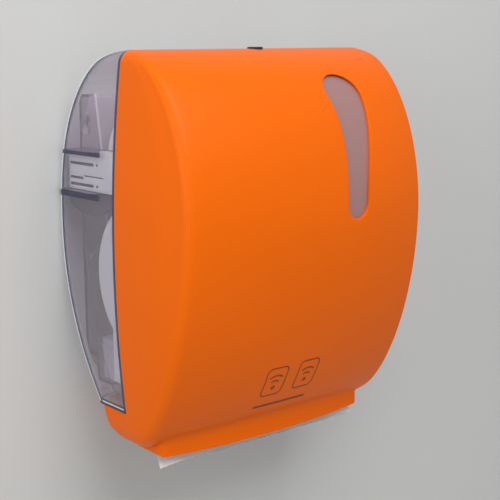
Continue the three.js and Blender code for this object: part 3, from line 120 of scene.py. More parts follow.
def front_depth(z, inset):
    """Depth of the housing's front at its sides at a height."""
    reach = side_depth - parting - inset
    if z >= front_centre:
        return parting + reach * swept((z - front_centre) / (top - inset - front_centre), 2, 2)
    return parting + reach * swept((front_centre - z) / (front_centre - bottom - inset), 1.7, 1.7)


def front_edge(z, inset):
    """Sizes of the front's curve at a height: edge, edge round, crown and the crown's depth at x."""
    front, full = front_depth(z, inset), side_depth - parting
    edge = side_reach(z, inset) - front_taper * (max(0, front - parting) / full) ** 1.8
    radius = min(front_round, (front - parting) * 0.8)
    crown = front_crown * (max(0, front - parting) / full) ** 0.35
    lean = math.atan(2 * crown * (edge - radius) / edge ** 2)
    return front, edge, radius, crown, lean


def front_surface(x, z):
    """Depth of the finished front surface at a place."""
    front, edge, radius, crown, lean = front_edge(z, 0)
    tangent = edge - radius + radius * math.sin(lean)
    if abs(x) <= tangent:
        return front + crown * (1 - (x / edge) ** 2)
    centre = front + crown * (1 - (tangent / edge) ** 2) - radius * math.cos(lean)
    return centre + math.sqrt(max(0, radius ** 2 - (abs(x) - edge + radius) ** 2))


def level_ring(z, inset, foot):
    """One level section of the housing as (x, depth, height) points."""
    back, reach, full = back_depth(z, inset, foot), side_reach(z, inset), side_depth - parting
    front, edge, radius, crown, lean = front_edge(z, inset)
    rear = min(back_round, (parting - back) * 0.8)
    half = [(0, back), (reach * 0.5, back)]
    for i in range(9):
        angle = math.radians(-90 + 90 * i / 8)
        half.append((reach - rear + rear * math.cos(angle), back + rear + rear * math.sin(angle)))
    flat = parting - back - rear
    # Extra points where the bands of painted shade and painted highlight start and end.
    half += [(reach, back + rear + min(rim_shade_band, flat * 0.2)), (reach, max(strip_front, parting - flat / 2)),
             (reach, parting - min(parting_shade_band, flat * 0.4)), (reach, parting)]
    side_end = front - radius
    for i in range(1, 8):
        d = parting + (side_end - parting) * i / 8
        half.append((reach - front_taper * (max(0, d - parting) / full) ** 1.8, d))
    tangent = edge - radius + radius * math.sin(lean)
    centre = front + crown * (1 - (tangent / edge) ** 2) - radius * math.cos(lean)
    for i in range(11):
        angle = (math.pi / 2 - lean) * i / 10
        half.append((edge - radius + radius * math.cos(angle), centre + radius * math.sin(angle)))
    for i in range(13, -1, -1):
        x = tangent * i / 14
        half.append((x, front + crown * (1 - (x / edge) ** 2)))
    left = [(-x, d) for x, d in reversed(half[1:-1])]
    return [(x, d, z) for x, d in half + left]


def almond(inset, foot=cheek_foot):
    """The housing's whole form, drawn in by an inset, as level rings."""
    upper, lower = top - inset - front_centre, front_centre - bottom - inset
    steps = [math.sin(math.radians(89.2 * i / 52)) for i in range(52, 0, -1)]
    heights = [front_centre - lower * s for s in steps] + [front_centre]
    heights += [front_centre + upper * math.sin(math.radians(89.2 * i / 40)) for i in range(1, 41)]
    heights += [tray_floor + rise for rise in rim_lines]
    heights += [edge for edges in shelf_edges for edge in edges]
    return [level_ring(z, inset, foot) for z in sorted(heights)]


def solid(name, rings, closed=False):
    """A closed body through rings of equally many points, capped at its ends unless it closes on itself."""
    work = bmesh.new()
    rows = [[work.verts.new((x * 0.001, -d * 0.001, z * 0.001)) for x, d, z in ring] for ring in rings]
    count = len(rows[0])
    pairs = list(zip(rows, rows[1:] + rows[:1])) if closed else list(zip(rows, rows[1:]))
    for low, high in pairs:
        for i in range(count):
            j = (i + 1) % count
            work.faces.new((low[i], low[j], high[j], high[i]))
    if not closed:
        work.faces.new(rows[0])
        work.faces.new(rows[-1])
    bmesh.ops.recalc_face_normals(work, faces=work.faces)
    mesh = bpy.data.meshes.new(name)
    work.to_mesh(mesh)
    work.free()
    return placed(name, mesh)


def side_plate(points, x0, x1):
    """A plate drawn in depth and height, from x0 to x1."""
    return solid("tool", [[(x, d, z) for d, z in points] for x in (x0, x1)])


def top_plate(points, z0, z1):
    return solid("tool", [[(x, d, z) for x, d in points] for z in (z0, z1)])


def front_plate(points, d0, d1):
    return solid("tool", [[(x, d, z) for x, z in points] for d in (d0, d1)])


def block(x0, x1, d0, d1, z0, z1):
    return side_plate([(d0, z0), (d1, z0), (d1, z1), (d0, z1)], x0, x1)


def round_points(a, b, radius, start, end, steps):
    angles = [math.radians(start + (end - start) * i / steps) for i in range(steps + 1)]
    return [(a + radius * math.cos(t), b + radius * math.sin(t)) for t in angles]


def circle(a, b, radius, sides):
    return round_points(a, b, radius, 0, 360 - 360 / sides, sides - 1)


def bake(piece):
    """Turns what a piece's modifiers make into its mesh."""
    graph = bpy.context.evaluated_depsgraph_get()
    mesh = bpy.data.meshes.new_from_object(piece.evaluated_get(graph))
    piece.modifiers.clear()
    piece.data = mesh


def shaped(piece, operation, *tools):
    """Joins, cuts or crosses a closed body with others, which are used up."""
    for tool in tools:
        change = piece.modifiers.new("change", "BOOLEAN")
        change.operation = operation
        change.solver = "MANIFOLD"
        change.object = tool
        bake(piece)
        bpy.data.objects.remove(tool)
    return piece


def mirrored(piece):
    """A right-hand body and its left-hand twin."""
    twin = placed(piece.name, piece.data.copy())
    for vertex in twin.data.vertices:
        vertex.co.x = -vertex.co.x
    twin.data.flip_normals()
    return piece, twin


def named(piece, name):
    piece.name = piece.data.name = name
    return piece


def smoothed(piece, degrees):
    """Smooth faces that break only where the form has a real edge."""
    piece.data.shade_smooth()
    piece.data.set_sharp_from_angle(angle=math.radians(degrees))
    return piece


def linear(code, share=1):
    """An sRGB hex colour as the linear colour that a shader takes, at a share of its light."""
    parts = [int(code[i:i + 2], 16) / 255 for i in (1, 3, 5)]
    parts = [c / 12.92 if c <= 0.04045 else ((c + 0.055) / 1.055) ** 2.4 for c in parts]
    return tuple(min(1, c * share) for c in parts) + (1,)


def add(tree, kind, values={}, links={}, **settings):
    """Adds a node with its settings and input values, and what feeds it: outputs or nodes' first outputs."""
    made = tree.nodes.new(kind)
    for key, value in settings.items():
        setattr(made, key, value)
    for key, value in values.items():
        made.inputs[key].default_value = value
    for key, sources in links.items():
        for source in sources if isinstance(sources, list) else [sources]:
            source = getattr(source, "socket", source)
            tree.links.new(source.outputs[0] if hasattr(source, "outputs") else source, made.inputs[key])
    return made


def new_finish(name):
    """An empty material, its tree and the object coordinates that its patterns follow."""
    finish = bpy.data.materials.new(name)
    finish.use_nodes = True
    tree = finish.node_tree
    tree.nodes.clear()
    return finish, tree, add(tree, "ShaderNodeTexCoord").outputs["Object"]


def skin(tree, values, tones, gloss=None, relief=None):
    """A shader with patterns: two colours, two roughnesses, and a relief of some strength and depth."""
    links = {"Base Color": add(tree, "ShaderNodeMix", {6: tones[1], 7: tones[2]}, {0: tones[0]},
                               data_type="RGBA").outputs[2]}
    if gloss:
        links["Roughness"] = add(tree, "ShaderNodeMapRange", {"To Min": gloss[1], "To Max": gloss[2]},
                                 {"Value": gloss[0]})
    if relief:
        links["Normal"] = add(tree, "ShaderNodeBump", {"Strength": relief[1], "Distance": relief[2]},
                              {"Height": relief[0]})
    return add(tree, "ShaderNodeBsdfPrincipled", values, links)


def surfaced(finish, shader):
    add(finish.node_tree, "ShaderNodeOutputMaterial", {}, {"Surface": shader})
    return finish


def dressed(finish, *names):
    """Gives solids that stay as they are a better finish."""
    for name in names:
        nodes[name].material_slots[0].material = finish


def coated(piece, *finishes):
    """Gives a built piece its own finishes."""
    piece.data.materials.clear()
    for finish in finishes:
        piece.data.materials.append(finish)
    return piece


# Smoked clear polycarbonate, mould-polished: a cool grey tint over what is behind it, bright edges.
# Lamps reach the inside through the transparent side of the mix, tinted once for each surface.
# A share of milk scatters part of the light in the surface: a little in the clear moulding, much in the
# frosted window and in the bands of painted shade and painted highlight.
def smoked_clear(name, tint, roughness, ripple, milk=0.0):
    finish, tree, place = new_finish(name)
    flow = add(tree, "ShaderNodeTexNoise", {"Scale": 14, "Detail": 2}, {"Vector": place})
    relief = add(tree, "ShaderNodeBump", {"Strength": ripple, "Distance": 0.001},
                 {"Height": flow})
    clear = add(tree, "ShaderNodeBsdfPrincipled",
                {"Base Color": linear(tint), "Roughness": roughness, "IOR": 1.58,
                 "Transmission Weight": 1 - milk}, {"Normal": relief})
    through = [math.sqrt(c) for c in linear(tint)[:3]] + [1]
    veil = add(tree, "ShaderNodeBsdfTransparent", {"Color": through})
    rays = add(tree, "ShaderNodeLightPath")
    return surfaced(finish, add(tree, "ShaderNodeMixShader", {}, {
        0: rays.outputs["Is Shadow Ray"], 1: clear, 2: veil}))


smoke = smoked_clear("smoked polycarbonate, polished", "#e6e1e8", 0.02, 0.01, 0.03)
# Painted shade: dark blue faces of the same moulding along the parting line, over the shelves, behind the rim
# and along the cheek's foot stand in for the shade of its thick edges; a pale milky band on the rim's round
# is a painted highlight.
# The web under the arm's lower shelf is painted plum: painted shade where the lower pocket lies in shade.
smoke_painted_shade = smoked_clear("smoked polycarbonate, painted edge shade", "#34355c", 0.1, 0.02, 0.5)
smoke_painted_highlight = smoked_clear("smoked polycarbonate, painted rim highlight", "#e9ecf1", 0.2, 0.02, 0.8)
smoke_painted_web_shade = smoked_clear("smoked polycarbonate, web in painted shade", "#5d4a66", 0.2, 0.02, 0.5)

roll_depth, roll_height, arm_height, arm_outer = 112, 70.5, 41, 155.6
# strip_front ends the strips of painted shade over the shelves on the cheeks.
pocket_front, strip_front, root_top, web_wall, web_x = 67, 79, 85.7, 2.4, 149.6
lower_thick, upper_thick = 6, 4
lower_shelf, upper_shelf = roll_height - arm_height / 2 - run - lower_thick, root_top + run
shelf_edges = ((lower_shelf, lower_shelf + lower_thick), (upper_shelf, upper_shelf + upper_thick))
far, high, cheek_inner = half_width + overrun, top + overrun, 142.6


def wall_pad():
    """The raised middle that brings the tray back to the wall."""
    points = [(0, plate_top)]
    for i in range(41):
        z = plate_top + (plate_bottom - plate_top) * i / 40
        points.append((back_depth(z, 0) + tray_wall / 2, z))
    return side_plate(points + [(0, plate_bottom)], -plate_half, plate_half)


def housing_half():
    """The part of the housing's form that the tray fills; the cheeks reach a little below its floor."""
    half = solid("half", almond(0))
    room = block(-far, far, -overrun, parting, tray_floor, high)
    cheek = block(cheek_inner, far, -overrun, parting, tray_floor - cheek_drop, tray_floor + 1)
    shaped(room, "UNION", *mirrored(cheek))
    return shaped(half, "INTERSECT", room)


def shelf(z0, z1):
    return block(plate_half - tray_wall / 2, far, 0, pocket_front, z0, z1)


def hinge_rod(x0, x1, radius, sides):
    return side_plate(circle(hinge_depth, hinge_height, radius, sides), x0, x1)


whole = named(housing_half(), "wall_tray_body")
shaped(whole, "UNION", wall_pad())
shaped(whole, "DIFFERENCE", solid("hollow", almond(tray_wall)),
       block(-plate_half + tray_wall, plate_half - tray_wall, plate_thickness, parting + overrun,
             plate_bottom + tray_wall, plate_top - tray_wall))
floor_slab = block(-far, far, 0, parting - tray_wall, tray_floor, tray_floor + tray_wall)
shaped(floor_slab, "INTERSECT", solid("copy", almond(tray_wall)))
# A rib along each side of the plate carries the two shelves of the arm and a curved web under the lower one.
rib_outline = [(1.5, plate_top), (31, plate_top), (40, 90), (42.5, 40), (47, 15), (52, -60), (80, -100),
               (80, -159.7), (1.5, -159.7)]
ribs = side_plate(rib_outline, plate_half - tray_wall, plate_half)
curve_depth, curve_height, curve_radius = 42, 97, 72.5
swing = math.degrees(math.acos((curve_height - lower_shelf - lower_thick / 2) / curve_radius))
arm_web = side_plate(round_points(curve_depth, curve_height, curve_radius, -90 - swing, -90 + swing, 36),
                     web_x, web_x + web_wall)
shaped(ribs, "UNION", *[shelf(*edges) for edges in shelf_edges], arm_web)
shaped(ribs, "INTERSECT", shaped(housing_half(), "UNION", wall_pad()))
ear_foot, ear_radius = tray_floor + tray_wall / 2, barrel - run
ear = side_plate(round_points(hinge_depth, hinge_height, ear_radius, 180, 360, 24)
                 + [(hinge_depth + ear_radius, ear_foot), (hinge_depth - ear_radius, ear_foot)],
                 ear_start, ear_end)
# The pad's lower corners are filled from inside and then cut off; a boss holds the battery box.
pad_corner = front_plate([(135.5, -122), (135.5, -152), (115, -152)], 1.5, 24)
pad_cut = front_plate([(plate_half + 2, -125.5), (plate_half + 2, -156), (117.6, -156)], -overrun, 21.4)
box_boss = front_plate(circle(112.9, -132.5, 6.8, 32), 1.5, 25.3)
catch_pad = block(-8, 8, 87, 97.7, 184.5, 186.8)
shaped(whole, "UNION", floor_slab, *mirrored(ribs), *mirrored(ear), *mirrored(box_boss),
       *mirrored(pad_corner), catch_pad)
keyhole = front_plate(circle(keyhole_x, keyhole_height, keyhole_radius, 32), -overrun, cut_depth)
neck = front_plate(round_points(keyhole_x, neck_top, neck_half, 0, 180, 12)
                   + [(keyhole_x - neck_half, keyhole_height), (keyhole_x + neck_half, keyhole_height)],
                   -overrun, cut_depth)
fixing_slot = front_plate(round_points(slot_middle + slot_run, slot_height, slot_half, -90, 90, 12)
                          + round_points(slot_middle - slot_run, slot_height, slot_half, 90, 270, 12),
                          -overrun, cut_depth)
# What rounds a cheek's lower rear corner, in depths and in heights over the cheek's foot.
foot_curve = [(62, 0), (58.6, 0.6), (55.4, 2), (52.6, 4.2), (50.6, 7), (49.4, 10), (0, 10), (0, -3), (62, -3)]
foot_round = side_plate([(d, tray_floor - cheek_drop + rise) for d, rise in foot_curve],
                        cheek_inner - 0.3, far)
for cut in (foot_round, pad_cut, keyhole, neck, fixing_slot,
            hinge_rod(ear_start - 6, ear_end + 6, pin_radius + run, 24),
            hinge_rod(ear_end, ear_end + knuckle_room, barrel + run, 32),
            hinge_rod(ear_start - knuckle_room, ear_start, barrel + run, 32)):
    shaped(whole, "DIFFERENCE", *mirrored(cut))
wall_tray = smoothed(named(whole, "wall_tray_moulding"), 32)
coated(wall_tray, smoke, smoke_painted_shade, smoke_painted_highlight, smoke_painted_web_shade)
# Cheek faces take their finishes by place: painted shade in dark blue, painted highlight in pale milk,
# painted shade in plum on the web.
for face in wall_tray.data.polygons:
    x, d, z = abs(face.center.x) * 1000, -face.center.y * 1000, face.center.z * 1000
    if x < plate_half - tray_wall:
        continue
    behind, reach = d - back_depth(z, 0), side_reach(z, 0)
    outside = x > reach - 1 or 0 <= behind < back_round and (
        x > reach - back_round + math.sqrt(back_round ** 2 - (back_round - behind) ** 2) - 1)
    shelves = [edges for edges in shelf_edges if edges[0] - 0.1 < z < edges[1] + 0.1]
    # Painted shade: the parting band, the strips over the shelves, the band behind the rim and the cheek's
    # foot.
    in_painted_shade = d > parting - parting_shade_band - 0.1 or (d < strip_front + 0.1 and shelves)
    in_painted_shade = in_painted_shade or (outside and (back_round < behind < back_round + rim_shade_band or z < tray_floor - 0.6))
    # Painted highlight: the rim's round, the cheek's foot above the shade line and the plate's front-facing
    # edges.
    light = outside and (behind < back_round or z < tray_floor + 0.9) or (
        x < plate_half + 0.1 and face.normal.y < -0.7)
    # Painted shade in plum on the web's flat sides below the lower shelf.
    on_web_painted_shade = web_x - 0.1 < x < web_x + web_wall + 0.1 and z < lower_shelf and abs(face.normal.x) > 0.9
    face.material_index = 1 if in_painted_shade else 2 if light else 3 if on_web_painted_shade else 0
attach(wall_tray, "chassis")
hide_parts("wall_tray")

# --- Front cover ---
# One satin moulding of orange ABS that hinges down at its foot: crowned front, sides, drooping lip.
# The lip meets the front in a soft hollow; the window's edge is eased by a millimetre.
cover_wall, parting_gap = 3, 0.4
lip_half, lip_bottom, lip_top, lip_end, lip_bow, lip_round, lip_droop = 135.2, -208.4, -172, 131, 11, 9, 1.2
return_top, return_rise, return_slope, lip_corner_round = -197.5, 7, 16, 3.5
outlet_half, outlet_rear = 134.5, 78
lip_hollow, cover_foot, cover_corner = 13, 59, 8
lock_depth, lock_radius, lock_foot, lock_bit = 117, 8, 163, 22
window_left, window_bottom, window_width, window_height = 33, 20.5, 50, 141.5
low = lip_bottom - overrun


# Moulded ABS: one solid colour, a fine spark-eroded texture that breaks the gloss, a faint cloudiness.
# The texture's real grain is about 0.3 mm; it is drawn four times as coarse so that it still shows.
def moulded(name, colour, roughness, grain, relief, cloud=0.03, shine=0.5):
    finish, tree, place = new_finish(name)
    fine = add(tree, "ShaderNodeTexNoise", {"Scale": 1000 / grain, "Detail": 3, "Roughness": 0.6},
               {"Vector": place})
    flow = add(tree, "ShaderNodeTexNoise", {"Scale": 9, "Detail": 2}, {"Vector": place})
    return surfaced(finish, skin(
        tree, {"IOR": 1.53, "Specular IOR Level": shine},
        (flow, linear(colour, 1 - cloud), linear(colour, 1 + cloud)),
        (fine, roughness - 0.04, roughness + 0.04), (fine, relief, 0.0002)))


orange = moulded("ABS, satin spark-eroded, orange", "#f46a00", 0.4, 1.2, 0.1, shine=0.12)


def lip_front(x, inset):
    """Depth of the lip's face at a place along it."""
    edge = rounding(lip_round - inset, lip_half - inset - abs(x))
    return lip_end - inset + lip_bow * (1 - min(1, abs(x) / lip_half) ** 2) - edge


def lip_plan(inset, half, rear):
    reach = min(half, lip_half - inset)
    places = [-reach * math.cos(math.pi * i / 48) for i in range(49)]
    front = [(x, lip_front(x, inset)) for x in places]
    if half > reach:
        front = [(-half, front[0][1])] + front + [(half, front[-1][1])]
    return front + [(half, rear), (-half, rear)]


def hollow_section(x):
    """The soft hollow between the front and the lip, at one place along the lip."""
    lip = lip_front(x, 0)
    centre = lip + lip_hollow
    curve = [(front_surface(x, z), z) for z in [bottom + 1 + 0.25 * i for i in range(240)]]
    start = max((z for d, z in curve if d < centre), default=-150)
    low_drop, high_drop = 0.0, 40.0
    for _ in range(24):
        drop = (low_drop + high_drop) / 2
        nearest = min(curve, key=lambda p: math.hypot(p[0] - centre, p[1] - start + drop))
        near = math.hypot(nearest[0] - centre, nearest[1] - start + drop)
        low_drop, high_drop = (drop, high_drop) if near < lip_hollow else (low_drop, drop)
    height = start - drop
    end = math.degrees(math.atan2(nearest[1] - height, nearest[0] - centre))
    arc = round_points(centre, height, lip_hollow, 180, end, 10)
    crease = min(z for d, z in curve if d >= lip)
    return [(x, d, z) for d, z in arc + [(arc[-1][0] - 1.4, arc[-1][1] - 0.4), (lip - 1.4, crease + 0.2),
                                         (lip - 1.4, arc[0][1])]]


def knuckle(x0, x1):
    barrel_rod = hinge_rod(x0, x1, barrel, 40)
    foot = block(x0, x1, hinge_depth, hinge_depth + 2 * barrel, bottom, hinge_height)
    return shaped(barrel_rod, "UNION", shaped(foot, "INTERSECT", solid("copy", almond(0))))


window_start = (0.014, 0.125)
window_curves = [((0.03, 0.39), (0.17, 0.67), (-0.01, 0.866)), ((-0.04, 0.95), (0.18, 1), (0.43, 1)),
                 ((0.76, 1), (1.02, 0.93), (0.99, 0.83)), ((0.98, 0.65), (0.66, 0.39), (0.61, 0.116)),
                 ((0.59, 0.04), (0.45, 0), (0.28, 0)), ((0.12, 0), (0, 0.05), (0.014, 0.125))]


def window_outline(grow):
    """The teardrop window's outline, grown by a number of millimetres."""
    outline, start = [], window_start
    for first, second, end in window_curves:
        for i in range(14):
            t = i / 14
            weights = ((1 - t) ** 3, 3 * t * (1 - t) ** 2, 3 * t * t * (1 - t), t ** 3)
            outline.append([sum(w * p[k] for w, p in zip(weights, (start, first, second, end)))
                            for k in (0, 1)])
        start = end
    wide, tall = 1 + 2 * grow / window_width, 1 + 2 * grow / window_height
    return [(window_left + window_width * (0.5 + (a - 0.5) * wide),
             window_bottom + window_height * (0.5 + (b - 0.5) * tall)) for a, b in outline]


def eased_window():
    """The window's cutter, which flares at the surface so that the edge is eased."""
    flare = [(0, -12), (0, -1), (0.14, -0.5), (0.5, -0.14), (1, 0), (1.3, 0.3), (1.3, 9)]
    rings = []
    for grow, lift in flare:
        rings.append([(x, front_surface(x, z) + lift, z) for x, z in window_outline(grow)])
    return solid("cutter", rings)


cover = solid("cover_body", almond(0, cover_foot))
tray_side = block(-far, far, -overrun, parting + parting_gap, tray_floor - parting_gap, high)
# The cover's sides stand lower where the cheeks reach down; their upper rear corner is round.
crest = tray_floor - cheek_drop - parting_gap
cheek_room = block(cheek_inner - 0.4, far, -overrun, parting + parting_gap, crest, tray_floor + 1)
corner_end = cover_foot + cover_corner
corner_round = side_plate([(0, crest - cover_corner), (0, crest + 2), (corner_end, crest + 2)]
                          + round_points(corner_end, crest - cover_corner, cover_corner, 90, 180, 10),
                          cheek_inner - 0.4, far)
shaped(cover, "DIFFERENCE", solid("hollow", almond(cover_wall, cover_foot)), tray_side,
       *mirrored(cheek_room), *mirrored(corner_round))
lip = top_plate(lip_plan(0, lip_half, outlet_rear), lip_bottom, lip_top)
for vertex in lip.data.vertices:
    if vertex.co.z < lip_bottom * 0.001 + 0.001:
        vertex.co.z -= 0.001 * lip_droop * (1 - (vertex.co.x * 1000 / lip_half) ** 2)
slope_end, slope_top = outlet_rear + return_slope, lip_bottom + return_rise
return_foot = side_plate([(0, low), (slope_end, low), (slope_end, lip_bottom), (outlet_rear, slope_top),
                          (0, slope_top)], -far, far)
# What rounds the lip's lower corners.
corner_x, corner_z, beyond = lip_half - lip_corner_round, lip_bottom + lip_corner_round, lip_half + overrun
lip_corner = front_plate(round_points(corner_x, corner_z, lip_corner_round, 0, -90, 8)
                         + [(corner_x, low), (beyond, low), (beyond, corner_z)], 0, far)
shaped(lip, "DIFFERENCE", top_plate(lip_plan(cover_wall, lip_half - cover_wall, 0), low, lip_top + overrun),
       top_plate(lip_plan(cover_wall, lip_half + overrun, 0), return_top, lip_top + overrun), return_foot,
       *mirrored(lip_corner))
hollow_reach = lip_half - 0.6
hollow = solid("hollow", [hollow_section(hollow_reach * (i / 30 - 1)) for i in range(61)])
outlet_above = top_plate(lip_plan(cover_wall, outlet_half, outlet_rear), return_top, tray_floor - parting_gap)
outlet_below = top_plate(lip_plan(cover_wall, lip_half - cover_wall, outlet_rear), low, return_top + 1)
shaped(cover, "UNION", hollow)
shaped(cover, "DIFFERENCE", outlet_above, outlet_below)
shaped(cover, "UNION", lip)
for start in (ear_start - run - knuckle_length, ear_end + run):
    shaped(cover, "UNION", *mirrored(knuckle(start, start + knuckle_length)))
ear_notch = block(ear_start - run, ear_end + run, 0, hinge_depth + barrel + 2 * run, bottom, tray_floor)
shaped(cover, "DIFFERENCE", eased_window(), hinge_rod(-far, far, pin_radius + run, 24), *mirrored(ear_notch),
       top_plate(circle(0, lock_depth, lock_radius + run, 48), lock_foot, high))
front_cover = smoothed(named(cover, "front_cover_moulding"), 32)
coated(front_cover, orange)

# Two plain signs and a rule are printed on the lower front.
# Each sign has two arcs over a dot, in a rounded frame.
ink = moulded("printing ink, brown", "#8f3f14", 0.5, 1.0, 0.02, shine=0.3)


def ribbon(corners, width, closed):
    """A printed line of one width along points on the front, a tenth of a millimetre proud of it."""
    path = []
    for (x, z), (to_x, to_z) in zip(corners, corners[1:] + corners[:1] * closed):
        steps = max(1, math.ceil(math.hypot(to_x - x, to_z - z) / 2))
        path += [(x + (to_x - x) * i / steps, z + (to_z - z) * i / steps) for i in range(steps)]
    path += [] if closed else corners[-1:]
    count, rings = len(path), []
    for i, (x, z) in enumerate(path):
        before = path[(i - 1) % count] if closed or i else path[i]
        after = path[(i + 1) % count] if closed or i < count - 1 else path[i]
        run_x, run_z = after[0] - before[0], after[1] - before[1]
        size = math.hypot(run_x, run_z)
        side_x, side_z = -run_z / size * width / 2, run_x / size * width / 2
        ring = []
        for lift, way in ((-0.2, 1), (0.1, 1), (0.1, -1), (-0.2, -1)):
            px, pz = x + way * side_x, z + way * side_z
            ring.append((px, front_surface(px, pz) + lift, pz))
        rings.append(ring)
    return solid("ribbon", rings, closed)


print_lines = [ribbon([(-41, -171), (28, -171)], 3.2, False)]
for sign_x, sign_z in ((-27.5, -141.5), (14, -140.5)):
    frame_path = []
    for way_x, way_z, start in ((1, 1, 0), (-1, 1, 90), (-1, -1, 180), (1, -1, 270)):
        frame_path += round_points(sign_x + way_x * 8, sign_z + way_z * 11, 5, start, start + 90, 6)
    print_lines.append(ribbon(frame_path, 1.6, True))
    print_lines.append(ribbon(circle(sign_x, sign_z - 7, 1.6, 12), 2, True))
    for arc in (8, 14):
        print_lines.append(ribbon(round_points(sign_x, sign_z - 7, arc, 55, 125, 8), 2, False))
work = bmesh.new()
for print_line in print_lines:
    work.from_mesh(print_line.data)
    bpy.data.objects.remove(print_line)
print_mesh = bpy.data.meshes.new("printed_signs")
work.to_mesh(print_mesh)
work.free()
printed_signs = placed("printed_signs", print_mesh)
coated(printed_signs, ink)
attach(printed_signs, "cover")

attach(front_cover, "cover")
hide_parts("cover_shell")

# --- Window panel ---
# A separate smoked polycarbonate panel, frosted inside, that shows how much towel is left.
# It is welded behind the opening, one millimetre and a half back from the surface.
window_smoke = smoked_clear("smoked polycarbonate, frosted", "#b48a88", 0.3, 0.0, 0.75)
window = solid("window_body", almond(3.3))
shaped(window, "DIFFERENCE", solid("hollow", almond(5.3)))
shaped(window, "INTERSECT", front_plate(window_outline(5), 113, 230))
window_panel = smoothed(named(window, "window_panel_frosted"), 32)
coated(window_panel, window_smoke)
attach(window_panel, "cover")
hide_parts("window_panel")

# --- Lock ---
# A black acetal barrel with a flat-key slot, flush in the cover's top edge.
# Its hook turns behind a zinc-plated catch under the tray's roof.
black = moulded("acetal, moulded, black", "#1c1c1e", 0.32, 1.0, 0.05)


# Zinc-plated steel: a cool grey metal with fine rolling lines and a soft, slightly uneven shine.
# Real rolling lines are some hundredths of a millimetre apart; they are drawn at half a millimetre.
def plated(name, colour, roughness, lines):
    finish, tree, place = new_finish(name)
    along = add(tree, "ShaderNodeMapping", {"Scale": (lines * 0.02, lines, lines)}, {"Vector": place})
    streak = add(tree, "ShaderNodeTexNoise", {"Scale": 1, "Detail": 3}, {"Vector": along})
    spangle = add(tree, "ShaderNodeTexVoronoi", {"Scale": 260}, {"Vector": place})
    return surfaced(finish, skin(
        tree, {"Metallic": 1}, (spangle.outputs["Color"], linear(colour, 0.82), linear(colour)),
        (streak, roughness - 0.08, roughness + 0.1), (streak, 0.08, 0.0001)))


steel = plated("steel, zinc-plated", "#c3c6ca", 0.34, 2000)
lock_profile = ((lock_radius, lock_foot), (lock_radius, 189.6), (7.7, 190.1), (7.2, 190.4), (6.4, 190.4),
                (6.1, 190.1), (6.1, 189.9), (5.9, 190.2))
lock = solid("lock_body", [[(x, d, z) for x, d in circle(0, lock_depth, radius, 48)]
                           for radius, z in lock_profile])
shaped(lock, "UNION", block(0, lock_bit, lock_depth - 4, lock_depth + 4, lock_foot, lock_foot + 3),
       block(lock_bit - 4, lock_bit, lock_depth - 2, lock_depth + 2, lock_foot, lock_foot + 9))
shaped(lock, "DIFFERENCE", block(-4, 4, lock_depth - 0.75, lock_depth + 0.75, 187, high))
lock_barrel = smoothed(named(lock, "lock_barrel_turned"), 30)
coated(lock_barrel, black)
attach(lock_barrel, "lock")
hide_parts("lock_barrel")
dressed(steel, "lock_catch", "hinge_pin_left", "hinge_pin_right")

# --- Wall screws ---
# Four pan-head steel screws with a cross recess hold the tray's plate to the wall.
# Two hang in the keyholes and two sit in the lower slots.


class Flow:
    """A number that runs through a geometry tree: a sum written with it becomes nodes."""

    def __init__(self, tree, socket):
        self.tree, self.socket = tree, socket

    def step(self, operation, *others, clamp=False):
        terms = list(enumerate((self, *others)))
        flows = {slot: term for slot, term in terms if isinstance(term, Flow)}
        plain = {slot: term for slot, term in terms if slot not in flows}
        made = add(self.tree, "ShaderNodeMath", plain, flows, operation=operation, use_clamp=clamp)
        return Flow(self.tree, made)

    def __add__(self, other):
        return self.step("ADD", other)

    def __sub__(self, other):
        return self.step("SUBTRACT", other)

    def __mul__(self, other):
        return self.step("MULTIPLY", other)


def new_tree(name, sizes):
    """A geometry tree with an input for each size and one for the finish, and those inputs."""
    tree = bpy.data.node_groups.new(name, "GeometryNodeTree")
    for label, value in sizes.items():
        kind = "NodeSocketInt" if isinstance(value, int) else "NodeSocketFloat"
        tree.interface.new_socket(label, in_out="INPUT", socket_type=kind).default_value = value
    tree.interface.new_socket("Finish", in_out="INPUT", socket_type="NodeSocketMaterial")
    tree.interface.new_socket("Geometry", in_out="OUTPUT", socket_type="NodeSocketGeometry")
    given = add(tree, "NodeGroupInput").outputs
    return tree, {label: Flow(tree, given[label]) for label in (*sizes, "Finish")}


def close_tree(tree, size, geometry):
    """Makes a tree's result real, gives it its finish and hands it out."""
    real = add(tree, "GeometryNodeRealizeInstances", {}, {"Geometry": geometry})
    clad = add(tree, "GeometryNodeSetMaterial", {}, {"Geometry": real, "Material": size["Finish"]})
    add(tree, "NodeGroupOutput", {}, {0: clad})


def grown(name, tree, values):
    """The plain mesh that a tree makes for these inputs."""
    source = placed(name, bpy.data.meshes.new(name))
    made = source.modifiers.new("tree", "NODES")
    made.node_group = tree
    for entry in tree.interface.items_tree:
        if entry.in_out == "INPUT" and entry.name in values:
            made[entry.identifier] = values[entry.name]
    bake(source)
    source.data.name = name
    return source


def lifted(tree, mesh, height):
    place = add(tree, "ShaderNodeCombineXYZ", {}, {"Z": height})
    return add(tree, "GeometryNodeTransform", {}, {"Geometry": mesh,
                                                   "Translation": place})


